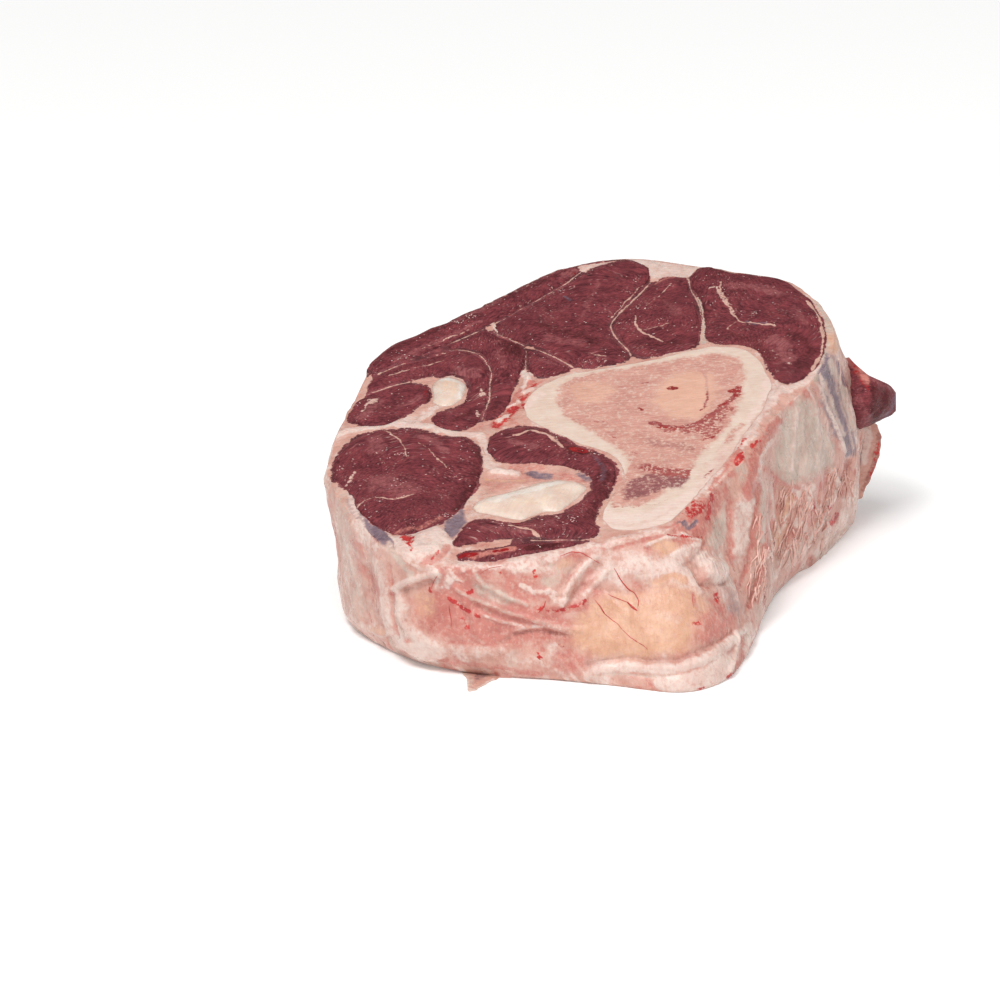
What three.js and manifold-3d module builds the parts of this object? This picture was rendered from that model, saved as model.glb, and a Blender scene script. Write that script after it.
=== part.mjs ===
// A raw beef shank slice: a thick cross cut through the upper end of the shin.
//
// The slice lies on its lower cut face, with the shin's length along +Z. Its upper cut face is a
// plane that leans a little towards the front, so the slice is thin at the front left and thick at
// the back right. The bone, each muscle and each tendon run right through the slice from one cut
// face to the other. A jacket of fat and white connective tissue holds them, fills the seams
// between them and makes the outer side, which spreads out at the foot.
//
// Millimetres, +Z up. The origin is on the surface the slice lies on, in the middle of its plan.

import * as THREE from 'three';
import { mergeVertices } from 'three/addons/utils/BufferGeometryUtils.js';
import Module from 'manifold-3d';

// ---------------------------------------------------------------------------------------------
// Driving dimensions
// ---------------------------------------------------------------------------------------------

const CUT_HEIGHT = 60; // thickness at the middle of the plan
const CUT_LEAN_X = 0.06; // rise of the upper cut face for each millimetre to the right
const CUT_LEAN_Y = 0.22; // rise for each millimetre to the back
const PLAN_SHIFT = new THREE.Vector2(-4.123, -2.109); // brings the middle of the plan to the origin

const SEAM_GAP = 0.3; // clearance between a piece and the jacket that holds it
const EDGE_ROUND = 0.9; // how far a piece's cut edge is rounded inwards
const FAT_DROP = 0.8; // how far the cut fat lies below the cut bone
const FOOT_TUCK = 3; // how far the jacket's lower edge is rounded inwards
const RIM_TUCK = 1.6; // how far its upper edge is rounded inwards
const INNER_SPREAD_MOST = 1.04; // the pieces inside spread at most this much towards the foot
const INNER_SPREAD_LEAST = 0.93; // and draw in at most this much

const FLARE_POWER = 1.25; // above 1, the side spreads mostly near the foot
const FOOT_TUCK_REACH = 0.04; // share of the thickness over which the lower edge rounds off
const RIM_TUCK_REACH = 0.03; // and the upper edge
const HOLE_OVERSHOOT = 0.1; // share of the thickness that a hole's cutter sticks out at each end

const MERGE_FLAT = 0.01; // faces this close to flat are joined after the cuts
const RING_STEPS = 90; // facets round the jacket
const LEVELS = 12; // rings of points between its foot and its rim
const OUTLINE_SAMPLES = 720; // points that a plan outline is measured at
const TONGUE_STEPS = 20; // facets round the tongue
const TONGUE_RINGS = 12; // and along it

// ---------------------------------------------------------------------------------------------
// The jacket's plan: the rim round the upper cut face, and the foot on the surface below
// ---------------------------------------------------------------------------------------------

const RIM = [
  [-20, -88.5], [-5, -84], [10, -80], [22, -70], [33, -50], [45, -30], [54, -8], [64, 8], [71.5, 26],
  [75, 44], [70.5, 65], [61, 82], [44, 90], [27, 98.5], [8, 105.5], [-12, 101.5], [-29, 88],
  [-46, 72], [-63, 58.5], [-75, 48], [-80.5, 30], [-84.5, 10], [-88.5, -5], [-90, -28], [-88, -43],
  [-82, -57], [-75, -71], [-66, -85], [-52, -91.5], [-36, -92],
];
const FOOT = [
  [-18, -96], [2, -102], [20, -108], [33, -98], [42, -72], [49, -38], [58, -5], [68, 20], [77, 40],
  [83.5, 58], [86, 74], [80, 89], [66, 98], [48, 102], [30, 106], [9, 109], [-13, 104], [-30, 92],
  [-47, 77],
  [-63, 61], [-75, 47], [-81, 28], [-84, 8], [-86, -8], [-86, -28], [-84, -44], [-78, -57],
  [-70, -70], [-61, -80], [-49, -88], [-33, -93],
];

// Where the side swells or sinks: direction seen from the middle, height as a share of the
// thickness, how far the swelling reaches in degrees and in height, and its depth.
const SWELLINGS = [
  { direction: -77, height: 0.5, reach: [13, 0.3], depth: 5.5 }, // the fat pad at the front
  { direction: -106, height: 0.62, reach: [10, 0.22], depth: 3 }, // the fold beside it
  { direction: -122, height: 0.35, reach: [14, 0.3], depth: 3 }, // the hollow front's foot
  { direction: -154, height: 0.45, reach: [18, 0.4], depth: -2 }, // the left lobe's side
  { direction: -62, height: 0.75, reach: [7, 0.25], depth: -3 }, // below the bone's front corner
  { direction: -40, height: 0.55, reach: [8, 0.5], depth: 3 }, // the joint's edge
  { direction: -16, height: 0.5, reach: [9, 0.5], depth: -2.5 },
  { direction: 8, height: 0.55, reach: [8, 0.4], depth: 2 },
  { direction: 37, height: 0.52, reach: [13, 0.35], depth: 9 }, // behind the side tongue
  { direction: 66, height: 0.5, reach: [18, 0.4], depth: 4.5 },
  { direction: 105, height: 0.5, reach: [20, 0.4], depth: 4 },
  { direction: 140, height: 0.5, reach: [20, 0.4], depth: 4.5 },
  { direction: 168, height: 0.45, reach: [12, 0.4], depth: 1 },
];

// ---------------------------------------------------------------------------------------------
// The pieces that run through the slice, as their outlines on the upper cut face
// ---------------------------------------------------------------------------------------------

const MUSCLE = new THREE.MeshStandardMaterial({ color: 0x7a3a3c, roughness: 0.45, metalness: 0 });
const BONE = new THREE.MeshStandardMaterial({ color: 0xe6c8b0, roughness: 0.5, metalness: 0 });
const TENDON = new THREE.MeshStandardMaterial({ color: 0xe9e0cd, roughness: 0.35, metalness: 0 });
const FAT = new THREE.MeshStandardMaterial({ color: 0xe9cfc4, roughness: 0.4, metalness: 0 });

const PIECES = [
  {
    name: 'bone', material: BONE, crown: 0, points: 54,
    outline: [
      [-28, 4], [-26.5, -3], [-22, -9], [-17, -14.5], [-11.5, -20], [-6, -25.5], [0.5, -31],
      [3.4, -38], [3, -46], [0, -54], [-3, -62], [-4, -69], [-1.5, -75], [6, -76.5], [14, -74],
      [20, -67], [25, -57], [31, -45], [37.5, -31], [43.5, -17], [48.5, -3], [51, 9], [50, 20],
      [47.5, 30], [42.5, 35.5], [35, 36.8], [25, 34], [15, 30.8], [5, 27.4], [-4, 25.5], [-12, 24.3],
      [-20, 19.5], [-25.5, 12],
    ],
  },
  {
    name: 'muscle_left_lobe', material: MUSCLE, crown: 1.4, points: 38,
    outline: [
      [-65, -72], [-60, -70], [-54, -65.5], [-50, -61], [-46, -53], [-43, -44], [-41.5, -33],
      [-42, -23], [-44, -16], [-47.5, -12.5], [-53, -12.5], [-58, -9.5], [-62, -6], [-67, -5],
      [-71, -6.2], [-76, -6], [-82, -11], [-86.8, -20], [-88, -29], [-86.5, -38], [-82.5, -43],
      [-80, -51], [-76.5, -60], [-71, -68],
    ],
  },
  {
    name: 'muscle_hook', material: MUSCLE, crown: 0.8, points: 60,
    outline: [
      [-50, -79.5], [-44, -78.5], [-38, -77], [-33, -76.3], [-26, -77.5], [-17, -78.5], [-9, -79.3],
      [-5.5, -77], [-7, -70], [-6, -63], [-3.5, -56], [-0.8, -49], [1, -42], [0.3, -36], [-3, -31],
      [-8, -26.5], [-13, -21], [-18, -14.5], [-23.5, -9.5], [-29, -9.2], [-34.5, -10.5],
      [-38, -15], [-39.5, -20.5], [-38, -26.5], [-35, -31], [-30, -31], [-23, -32.5], [-16, -35],
      [-10, -39], [-6.5, -44.5], [-6.7, -50], [-10, -56.5], [-14, -61.5], [-17.5, -65],
      [-21.5, -64], [-26, -66.5], [-31, -68.5], [-36, -66], [-41, -63.5], [-45, -66.5], [-48.5, -73],
    ],
  },
  {
    name: 'muscle_front_strip', material: MUSCLE, crown: 0.2, points: 28,
    outline: [
      [-49, -86.8], [-43, -88.6], [-36.5, -89], [-30, -87], [-23, -85.4], [-16, -83.8], [-11, -82.4],
      [-14, -81], [-21, -81], [-28, -80.4], [-34, -81.4], [-41, -83.2], [-47, -83.6],
    ],
  },
  {
    name: 'muscle_outer_band', material: MUSCLE, crown: 1.2, points: 40,
    outline: [
      [-77.8, 31], [-70, 37.5], [-62, 42.5], [-55, 48], [-47, 54.8], [-39.5, 61.5], [-33.5, 66.3],
      [-28.5, 72], [-21.5, 79.8], [-14.5, 87.8], [-9, 94.5], [-8, 98.5], [-13, 98.3], [-19, 94],
      [-28, 86], [-37, 77.6], [-46, 70], [-55, 62.5], [-63.5, 56.5], [-72, 49], [-76, 42],
    ],
  },
  {
    name: 'muscle_tendon_wrap', material: MUSCLE, crown: 0.8, points: 48,
    outline: [
      [-78.6, 19.5], [-71, 24], [-63, 26.8], [-57, 28.2], [-51, 28.5], [-46.3, 26], [-45, 19],
      [-45.6, 12], [-48.6, 6.4], [-54, 4.6], [-57.5, 2.5], [-57, -3], [-53, -7.5], [-48.5, -9],
      [-44, -6], [-42, 1], [-40.3, 9], [-40, 19], [-39.4, 28], [-41, 36], [-44.8, 42], [-49, 44.3],
      [-55, 42], [-62, 38.2], [-70, 34], [-76.5, 28.8],
    ],
  },
  {
    name: 'muscle_middle_wedge', material: MUSCLE, crown: 0.8, points: 36,
    outline: [
      [-40, 57.5], [-47, 52], [-54, 46.2], [-52, 45.4], [-48, 46.5], [-43.2, 44.2], [-39.6, 38],
      [-37.8, 29], [-38.4, 19], [-38.8, 9], [-40.5, 0], [-40, -4], [-36, -1], [-33, 8], [-31, 17],
      [-29.5, 25], [-28.2, 33], [-27.6, 40], [-27.8, 45], [-33, 49.2], [-37.5, 53.5],
    ],
  },
  {
    name: 'muscle_bone_wedge', material: MUSCLE, crown: 0.4, points: 24,
    outline: [
      [-26, 41.8], [-20.5, 37.2], [-15.8, 31.6], [-12.6, 27.2], [-17, 24.8], [-22, 22], [-25, 24.5],
      [-26.2, 31], [-26.4, 37],
    ],
  },
  {
    name: 'muscle_left_small', material: MUSCLE, crown: 0.8, points: 26,
    outline: [
      [-80, 16], [-72, 20.6], [-64, 23.2], [-59.5, 22.6], [-58.3, 17], [-58.3, 11], [-62.5, 8],
      [-65.5, 3], [-70, -1], [-76, -2.8], [-80, -1], [-84.5, 1.5], [-83, 8],
    ],
  },
  {
    name: 'muscle_back_large', material: MUSCLE, crown: 1.4, points: 48,
    outline: [
      [-36.6, 60.8], [-32, 64.8], [-26.8, 71], [-19.8, 78.6], [-12.8, 86.6], [-6.5, 94.2], [0, 99.5],
      [7.5, 102.8], [12.8, 99], [14.8, 91], [12.8, 83.5], [8.8, 75], [4.4, 66], [0.3, 58], [-0.4, 52],
      [2, 44], [5.3, 37], [6, 30.6], [1.5, 28.6], [-4, 27.3], [-9.8, 28.3], [-13.4, 33.2],
      [-18.6, 39.4], [-24.4, 45], [-31, 50], [-35.5, 54.5],
    ],
  },
  {
    name: 'muscle_back_middle', material: MUSCLE, crown: 1, points: 38,
    outline: [
      [16.5, 85], [20, 87.5], [25, 87.5], [27.6, 84], [27.6, 77], [28.8, 70], [30.2, 60], [29.8, 50],
      [29.2, 42], [27.6, 37.2], [20, 34.8], [11.5, 32], [8.8, 33.6], [7.2, 38.8], [4.2, 45.8],
      [1.6, 52.4], [2.4, 57.6], [6.4, 65.6], [10.8, 74.6], [14.4, 82],
    ],
  },
  {
    name: 'muscle_back_right', material: MUSCLE, crown: 1.4, points: 46,
    outline: [
      [30.6, 93], [35.5, 92.6], [41.5, 88.2], [50, 85.8], [57.5, 82.2], [62.5, 75], [67.3, 65],
      [70.4, 52], [70.6, 38], [68.6, 25], [64.5, 15.5], [59, 10], [54, 10], [52.6, 17],
      [50.4, 28], [48, 34.5], [43, 38.2], [35.5, 38.6], [32, 42.5], [32, 52], [32.4, 62],
      [31, 71], [29.3, 80], [29.6, 88],
    ],
  },
  {
    name: 'tendon_round', material: TENDON, crown: 1, points: 24,
    outline: [
      [-56.8, 23.5], [-53, 26.4], [-49.4, 25], [-46.9, 20], [-47.3, 14], [-49.6, 9], [-53.6, 7],
      [-56.4, 9.5], [-57, 16],
    ],
  },
  {
    name: 'tendon_fan', material: TENDON, crown: 1.6, points: 36,
    outline: [
      [-43.3, -60], [-38.5, -61.5], [-34, -63.8], [-30.5, -66.5], [-25.5, -64.2], [-21, -61.8],
      [-17.6, -62.8], [-15, -59.6], [-11.4, -54.4], [-8.6, -49.6], [-11.6, -46], [-17, -44.2],
      [-22.5, -44.6], [-28, -47], [-34, -49.6], [-40.5, -52.2], [-43.6, -56],
    ],
  },
];

// A tongue of muscle that hangs out of the back right side, and the pocket that it sits in.
const TONGUE = {
  centre: new THREE.Vector3(85.48, 66, 44.5),
  radii: new THREE.Vector3(13, 20, 12),
  lean: THREE.MathUtils.degToRad(18), // its outer end hangs down
  taper: 0.5, // how much thinner the outer end is
  taperStart: -0.2, // where the thinning starts, as a share of the length from the centre
};

// ---------------------------------------------------------------------------------------------
// Shape functions
// ---------------------------------------------------------------------------------------------

/** Height of the upper cut face above a point of the plan. */
function cutHeight(x, y) {
  return CUT_HEIGHT + CUT_LEAN_X * x + CUT_LEAN_Y * y;
}

/** Evenly spaced points of the smooth closed line through the given points. */
function smoothLoop(points, count) {
  const corners = points.map(([x, y]) => new THREE.Vector3(x, y, 0));
  const curve = new THREE.CatmullRomCurve3(corners, true, 'centripetal');
  const loop = curve.getSpacedPoints(count).slice(0, count).map((p) => new THREE.Vector2(p.x, p.y));
  return THREE.ShapeUtils.isClockWise(loop) ? loop.reverse() : loop;
}

/** Moves every point of a loop outwards by a distance. */
function grow(loop, distance) {
  return loop.map((point, i) => {
    const before = loop[(i + loop.length - 1) % loop.length];
    const after = loop[(i + 1) % loop.length];
    const along = after.clone().sub(before).normalize();
    return new THREE.Vector2(point.x + along.y * distance, point.y - along.x * distance);
  });
}

/** The distance of a closed line from the middle of the plan, as a function of the direction. */
function radiusOf(points) {
  const samples = smoothLoop(points, OUTLINE_SAMPLES)
    .map((p) => ({ angle: Math.atan2(p.y, p.x), radius: p.length() }))
    .sort((a, b) => a.angle - b.angle);
  const last = samples[samples.length - 1];
  const line = [
    { angle: last.angle - 2 * Math.PI, radius: last.radius },
    ...samples,
    { angle: samples[0].angle + 2 * Math.PI, radius: samples[0].radius },
  ];
  return (angle) => {
    const wrapped = Math.atan2(Math.sin(angle), Math.cos(angle));
    const i = Math.max(1, line.findIndex((sample) => sample.angle >= wrapped));
    const share = (wrapped - line[i - 1].angle) / (line[i].angle - line[i - 1].angle || 1);
    return THREE.MathUtils.lerp(line[i - 1].radius, line[i].radius, share);
  };
}

const rimRadius = radiusOf(RIM);
const footRadius = radiusOf(FOOT);

/** How much a piece inside has spread at a share of the thickness, seen in one direction. */
function innerSpread(angle, share) {
  const full = footRadius(angle) / rimRadius(angle);
  const atFoot = THREE.MathUtils.clamp(full, INNER_SPREAD_LEAST, INNER_SPREAD_MOST);
  return THREE.MathUtils.lerp(atFoot, 1, share);
}

/** Depth of the swellings of the jacket's side in one direction at a share of the thickness. */
function swelling(angle, share) {
  return SWELLINGS.reduce((sum, { direction, height, reach, depth }) => {
    const turn = THREE.MathUtils.radToDeg(angle) - direction;
    const across = THREE.MathUtils.euclideanModulo(turn + 180, 360) - 180;
    const fade = (across / reach[0]) ** 2 + ((share - height) / reach[1]) ** 2;
    return sum + depth * Math.exp(-fade);
  }, 0);
}

/** Radius of the jacket's side in one direction at a share of the thickness. */
function sideRadius(angle, share) {
  const flare = (1 - share) ** FLARE_POWER;
  const straight = THREE.MathUtils.lerp(rimRadius(angle), footRadius(angle), flare);
  const tuck = FOOT_TUCK * Math.exp(-share / FOOT_TUCK_REACH)
    + RIM_TUCK * Math.exp(-(1 - share) / RIM_TUCK_REACH);
  return straight + swelling(angle, share) * Math.sin(Math.PI * share) ** 0.5 - tuck;
}

/** A geometry from its points and the faces between them. */
function meshOf(positions, faces) {
  const geometry = new THREE.BufferGeometry();
  geometry.setAttribute('position', new THREE.Float32BufferAttribute(positions, 3));
  geometry.setIndex(faces);
  return geometry;
}

/** Keeps only a geometry's positions, and shares the points where its faces meet. */
function closed(geometry) {
  const plain = new THREE.BufferGeometry();
  plain.setAttribute('position', geometry.getAttribute('position'));
  plain.setIndex(geometry.getIndex());
  return mergeVertices(plain, 1e-3);
}

/** Moves every point of a geometry with a function that changes the vector it is given. */
function reshape(geometry, move) {
  const position = geometry.getAttribute('position');
  const point = new THREE.Vector3();
  for (let i = 0; i < position.count; i += 1) {
    point.fromBufferAttribute(position, i);
    move(point);
    position.setXYZ(i, point.x, point.y, point.z);
  }
  return geometry;
}

/**
 * A piece from the lower cut face to the upper one. The loop is its outline on the upper face;
 * from and to are its ends as shares of the thickness, and crown is added at the upper end.
 */
function throughPiece(loop, { round = 0, crown = 0, from = 0, to = 1 }) {
  const rings = [{ ring: loop, share: from }, { ring: loop, share: to, drop: round }];
  if (round > 0) rings.push({ ring: grow(loop, -round), share: to });
  const positions = rings.flatMap(({ ring, share, drop = 0 }) => ring.flatMap(({ x, y }) => {
    const spread = innerSpread(Math.atan2(y, x), share);
    return [x * spread, y * spread, share * (cutHeight(x, y) + crown) - drop];
  }));
  const count = loop.length;
  const faces = [];
  rings.slice(1).forEach((_, level) => {
    for (let i = 0; i < count; i += 1) {
      const [low, lowNext] = [level * count + i, level * count + ((i + 1) % count)];
      faces.push(low, lowNext, lowNext + count, low, lowNext + count, low + count);
    }
  });
  const top = (rings.length - 1) * count;
  THREE.ShapeUtils.triangulateShape(loop, []).forEach(([p, q, r]) => faces.push(p, r, q));
  THREE.ShapeUtils.triangulateShape(rings[rings.length - 1].ring, [])
    .forEach(([p, q, r]) => faces.push(top + p, top + q, top + r));
  return meshOf(positions, faces);
}

/** The jacket before the pieces are cut out of it: rings of points from the foot to the rim. */
function jacketBlank() {
  const rows = LEVELS - 1;
  const positions = [];
  for (let level = 0; level <= rows; level += 1) {
    const share = 0.5 - 0.5 * Math.cos((Math.PI * level) / rows); // closer rings at both ends
    for (let step = 0; step < RING_STEPS; step += 1) {
      const angle = (2 * Math.PI * step) / RING_STEPS;
      const radius = sideRadius(angle, share);
      const [x, y] = [radius * Math.cos(angle), radius * Math.sin(angle)];
      positions.push(x, y, share * (cutHeight(x, y) - FAT_DROP));
    }
  }
  const [foot, rim] = [positions.length / 3, positions.length / 3 + 1];
  positions.push(0, 0, 0, 0, 0, CUT_HEIGHT - FAT_DROP);
  const faces = [];
  for (let step = 0; step < RING_STEPS; step += 1) {
    const next = (step + 1) % RING_STEPS;
    faces.push(foot, next, step);
    faces.push(rim, rows * RING_STEPS + step, rows * RING_STEPS + next);
    for (let level = 0; level < rows; level += 1) {
      const [low, high] = [level * RING_STEPS, (level + 1) * RING_STEPS];
      faces.push(low + step, low + next, high + next, low + step, high + next, high + step);
    }
  }
  return meshOf(positions, faces);
}

/** The muscle tongue, a flattened ball drawn out to one side, grown by a distance. */
function tongue(growth) {
  const { centre, radii, lean, taper, taperStart } = TONGUE;
  const ball = closed(new THREE.SphereGeometry(1, TONGUE_STEPS, TONGUE_RINGS));
  reshape(ball, (point) => {
    const slim = 1 - taper * THREE.MathUtils.smoothstep(point.x, taperStart, 1);
    point.y *= slim;
    point.z *= slim;
    point.multiply(new THREE.Vector3().copy(radii).addScalar(growth));
  });
  return ball.rotateY(lean).translate(centre.x, centre.y, centre.z);
}

// ---------------------------------------------------------------------------------------------
// Cutting
// ---------------------------------------------------------------------------------------------

const wasm = await Module();
wasm.setup();

/** A closed geometry as a solid that can be cut. */
function solidOf(geometry) {
  return new wasm.Manifold(new wasm.Mesh({
    numProp: 3,
    vertProperties: new Float32Array(geometry.getAttribute('position').array),
    triVerts: new Uint32Array(geometry.getIndex().array),
  }));
}

/** A cut solid as a geometry. */
function geometryOf(solid) {
  const { vertProperties, triVerts } = solid.getMesh();
  const geometry = new THREE.BufferGeometry();
  geometry.setAttribute('position', new THREE.BufferAttribute(vertProperties, 3));
  geometry.setIndex(new THREE.BufferAttribute(triVerts, 1));
  geometry.computeVertexNormals();
  return geometry;
}

/** The jacket with a hole for each piece that runs through it and a pocket for the tongue. */
function jacket() {
  const holes = PIECES.map(({ outline, points }) => {
    const loop = grow(smoothLoop(outline, points), SEAM_GAP);
    return solidOf(throughPiece(loop, { from: -HOLE_OVERSHOOT, to: 1 + HOLE_OVERSHOOT }));
  });
  const pocket = solidOf(tongue(SEAM_GAP));
  const cut = [...holes, pocket].reduce((rest, hole) => rest.subtract(hole), solidOf(jacketBlank()));
  return geometryOf(cut.asOriginal().simplify(MERGE_FLAT));
}

// ---------------------------------------------------------------------------------------------
// The slice
// ---------------------------------------------------------------------------------------------

/** A named piece of the slice. */
function piece(name, geometry, material) {
  const mesh = new THREE.Mesh(geometry, material);
  mesh.name = name;
  return mesh;
}

const slice = new THREE.Group();
slice.position.set(PLAN_SHIFT.x, PLAN_SHIFT.y, 0);
PIECES.forEach(({ name, outline, points, crown, material }) => {
  const geometry = throughPiece(smoothLoop(outline, points), { round: EDGE_ROUND, crown });
  slice.add(piece(name, geometry, material));
});
slice.add(piece('muscle_side_tongue', tongue(0), MUSCLE));
slice.add(piece('fat_jacket', jacket(), FAT));

export default slice;
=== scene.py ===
"""Looks of a raw beef shank slice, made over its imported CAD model.

Every solid of the CAD model is replaced by a finely divided closed mesh of the same shape. All the
pieces share one division of the cut face, so the meat, the seams and the bone meet without a gap.
What each piece shows (fat, lean meat, silverskin, blood) is laid down as marks: lines and areas in
the plan of the cut face for the two cut faces, and in the front view for the outer side. Marks set
masks on the mesh's points and raise or sink them, and the materials turn the masks into colours.

Lengths are in millimetres until a mesh is made, where they become metres.
"""

import logging
import math
from dataclasses import dataclass, field, replace
from enum import Enum
from typing import Callable, ClassVar, Iterable, Sequence

import bmesh
import bpy
import numpy as np
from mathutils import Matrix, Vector
from mathutils.bvhtree import BVHTree
from mathutils.geometry import delaunay_2d_cdt


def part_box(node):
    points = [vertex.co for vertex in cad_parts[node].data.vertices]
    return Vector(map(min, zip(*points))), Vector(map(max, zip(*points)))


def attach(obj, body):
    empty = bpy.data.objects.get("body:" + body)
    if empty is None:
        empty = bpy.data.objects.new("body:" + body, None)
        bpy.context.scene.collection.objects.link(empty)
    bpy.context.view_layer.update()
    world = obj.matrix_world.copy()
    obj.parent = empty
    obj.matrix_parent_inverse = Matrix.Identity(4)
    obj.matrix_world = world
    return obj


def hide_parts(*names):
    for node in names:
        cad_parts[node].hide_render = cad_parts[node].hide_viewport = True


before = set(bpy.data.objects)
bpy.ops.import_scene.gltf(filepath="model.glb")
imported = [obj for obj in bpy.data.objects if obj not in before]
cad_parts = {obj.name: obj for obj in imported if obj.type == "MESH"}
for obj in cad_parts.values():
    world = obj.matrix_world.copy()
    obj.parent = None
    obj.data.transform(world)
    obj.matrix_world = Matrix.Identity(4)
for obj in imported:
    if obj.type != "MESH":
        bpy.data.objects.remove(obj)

log = logging.getLogger("shank")

Points = np.ndarray
Pair = tuple[float, float]
Colour = tuple[float, float, float, float]

MM = 0.001
COARSE = 1.0

SHIN_AXIS = np.array([-4.123, -2.109])  # the shin's axis; plan marks are measured from it
FAT_DROP = 0.8  # how far the cut fat lies below the cut bone
FOOT_EDGE = 0.25  # height of the pieces' lower edges, just clear of the floor
CUT_SPACING = 0.55  # distance between points on the cut muscles and bone
FAT_SPACING = 0.5  # and on the cut fat
UNDER_SPACING = 1.7  # and on the lower cut face
EDGE_SPACING = 0.75  # and along the pieces' outlines
SIDE_SPACING = 0.68  # and along the side that faces the front
BACK_SPACING = 1.5  # and along the side that faces away
SIDE_ROWS = max(12, int(84 / COARSE))
SEAM_BLEED = 0.7  # how far lean meat reaches over the edge of a seam
SEAM_WIDEST = 3.4  # a seam this narrow shows only a thin pale line
SEAM_FAR = 9.0  # stands for any distance from a seam at which it doesn't show
AROUND = 85.0  # radius that turns a bearing into mm along the side


# ---------------------------------------------------------------------------------------------
# Numbers
# ---------------------------------------------------------------------------------------------


def smoothstep(low: float, high: float, x: Points) -> Points:
    """Goes from 0 at low to 1 at high with level ends."""
    t = np.clip((x - low) / (high - low), 0.0, 1.0)
    return t * t * (3.0 - 2.0 * t)


def lattice(corner: Points, seed: int) -> Points:
    """A repeatable random number from -1 to 1 for each whole-numbered corner."""
    h = corner[..., 0] * 73856093 ^ corner[..., 1] * 19349663 ^ corner[..., 2] * 83492791
    h = (h ^ (seed * 40503)) & 0xFFFFFFFF
    h = ((h ^ (h >> 13)) * 1274126177) & 0xFFFFFFFF
    return ((h ^ (h >> 16)) & 0xFFFF) / 32767.5 - 1.0


def noise(points: Points, size: float | Sequence[float], seed: int) -> Points:
    """Smooth random field from -1 to 1.

    Args:
        points: n by 2 or n by 3 places.
        size: length over which the field changes, or one for each axis.
        seed: chooses the field.

    Returns:
        One value for each place.
    """
    p = np.zeros((len(points), 3))
    p[:, : points.shape[1]] = points / np.asarray(size, dtype=float)
    base = np.floor(p).astype(np.int64)
    f = p - base
    f = f * f * (3.0 - 2.0 * f)
    total = np.zeros(len(p))
    for corner in np.ndindex(2, 2, 2):
        weight = np.prod(np.where(corner, f, 1.0 - f), axis=1)
        total += weight * lattice(base + np.array(corner), seed)
    return total


def fractal(points: Points, size: float | Sequence[float], seed: int, octaves: int = 3) -> Points:
    """Noise with finer and fainter noise added to it."""
    scale = np.asarray(size, dtype=float)
    total = sum(noise(points, scale / 2**i, seed + 17 * i) * 0.5**i for i in range(octaves))
    return total / (2.0 - 0.5 ** (octaves - 1))


def sway(points: Points, size: float, seed: int) -> Points:
    """Random displacement in the plane, up to 1 each way."""
    return np.stack([noise(points, size, seed + i) for i in (0, 1)], axis=1)


def run_along(path: Points) -> Points:
    """Distance along a line of straight stretches to each of its corners."""
    return np.concatenate([[0.0], np.cumsum(np.linalg.norm(np.diff(path, axis=0), axis=1))])


def walked(path: Points, count: int, to_end: bool = True) -> Points:
    """Evenly spaced points along a line of straight stretches."""
    run = run_along(path)
    where = np.linspace(0, run[-1], count, endpoint=to_end)
    return np.stack([np.interp(where, run, path[:, i]) for i in range(path.shape[1])], axis=1)


def eased(path: Points, times: int) -> Points:
    """A line with its corners eased and its ends kept."""
    path = path.copy()
    for _ in range(times):
        path[1:-1] = (path[:-2] + 2 * path[1:-1] + path[2:]) / 4
    return path


def distance_to(points: Points, path: Points, closed: bool) -> Points:
    """Distance of each point from a line of straight stretches."""
    if len(path) == 1:
        return np.hypot(*(points - path[0]).T)
    start = path if closed else path[:-1]
    along = np.roll(path, -1, axis=0) - path if closed else path[1:] - path[:-1]
    best = np.full(len(points), 1e9)
    length = np.maximum((along**2).sum(1), 1e-12)
    for a, d, n in zip(start, along, length):
        t = np.clip(((points - a) @ d) / n, 0.0, 1.0)
        gap = points - a - t[:, None] * d
        np.minimum(best, (gap**2).sum(1), out=best)
    return np.sqrt(best)


def inside(points: Points, loop: Points) -> Points:
    """True for each point that lies inside a closed line."""
    x, y = points.T
    result = np.zeros(len(points), dtype=bool)
    for (ax, ay), (bx, by) in zip(loop, np.roll(loop, -1, axis=0)):
        if ay != by:
            crosses = (ay > y) != (by > y)
            result ^= crosses & (x < (bx - ax) * (y - ay) / (by - ay) + ax)
    return result


def spaced(path: Points, spacing: float) -> Points:
    """Evenly spaced points along a closed line of straight stretches."""
    ends = np.vstack([path, path[:1]])
    return walked(ends, max(12, int(round(run_along(ends)[-1] / spacing))), to_end=False)


def smooth_loop(corners: Points, spacing: float) -> Points:
    """Evenly spaced points on a closed line that rounds off the corners."""
    fine, reach, side = 0.4, 1.2, 9
    path = spaced(corners, fine)
    steps = np.arange(-side, side + 1)
    weights = np.exp(-0.5 * (steps * fine / reach) ** 2)
    weights /= weights.sum()
    return spaced(sum(w * np.roll(path, k, axis=0) for k, w in zip(steps, weights)), spacing)


# ---------------------------------------------------------------------------------------------
# Tissues and marks
# ---------------------------------------------------------------------------------------------


class Tissue(Enum):
    """What a place on the surface shows. SEAM is a line that is thinner than the mesh's faces."""

    WHITE = "white"
    PEACH = "peach"
    PINK = "pink"
    LILAC = "lilac"
    GREY = "grey"
    LEAN = "lean"
    # pale lean meat: partly the meat's own lighter tone, partly painted sheen
    PALE = "pale"
    DARK = "dark"
    BLOOD = "blood"
    # painted shade: a darker pink-brown laid along creases and folds
    HOLLOW = "hollow"
    CORTEX = "cortex"
    MARROW = "marrow"
    SEAM = "seam"

    @property
    def mask(self) -> str:
        """Name of the point attribute that says where the tissue shows."""
        return "mask_" + self.value


T = Tissue


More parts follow.
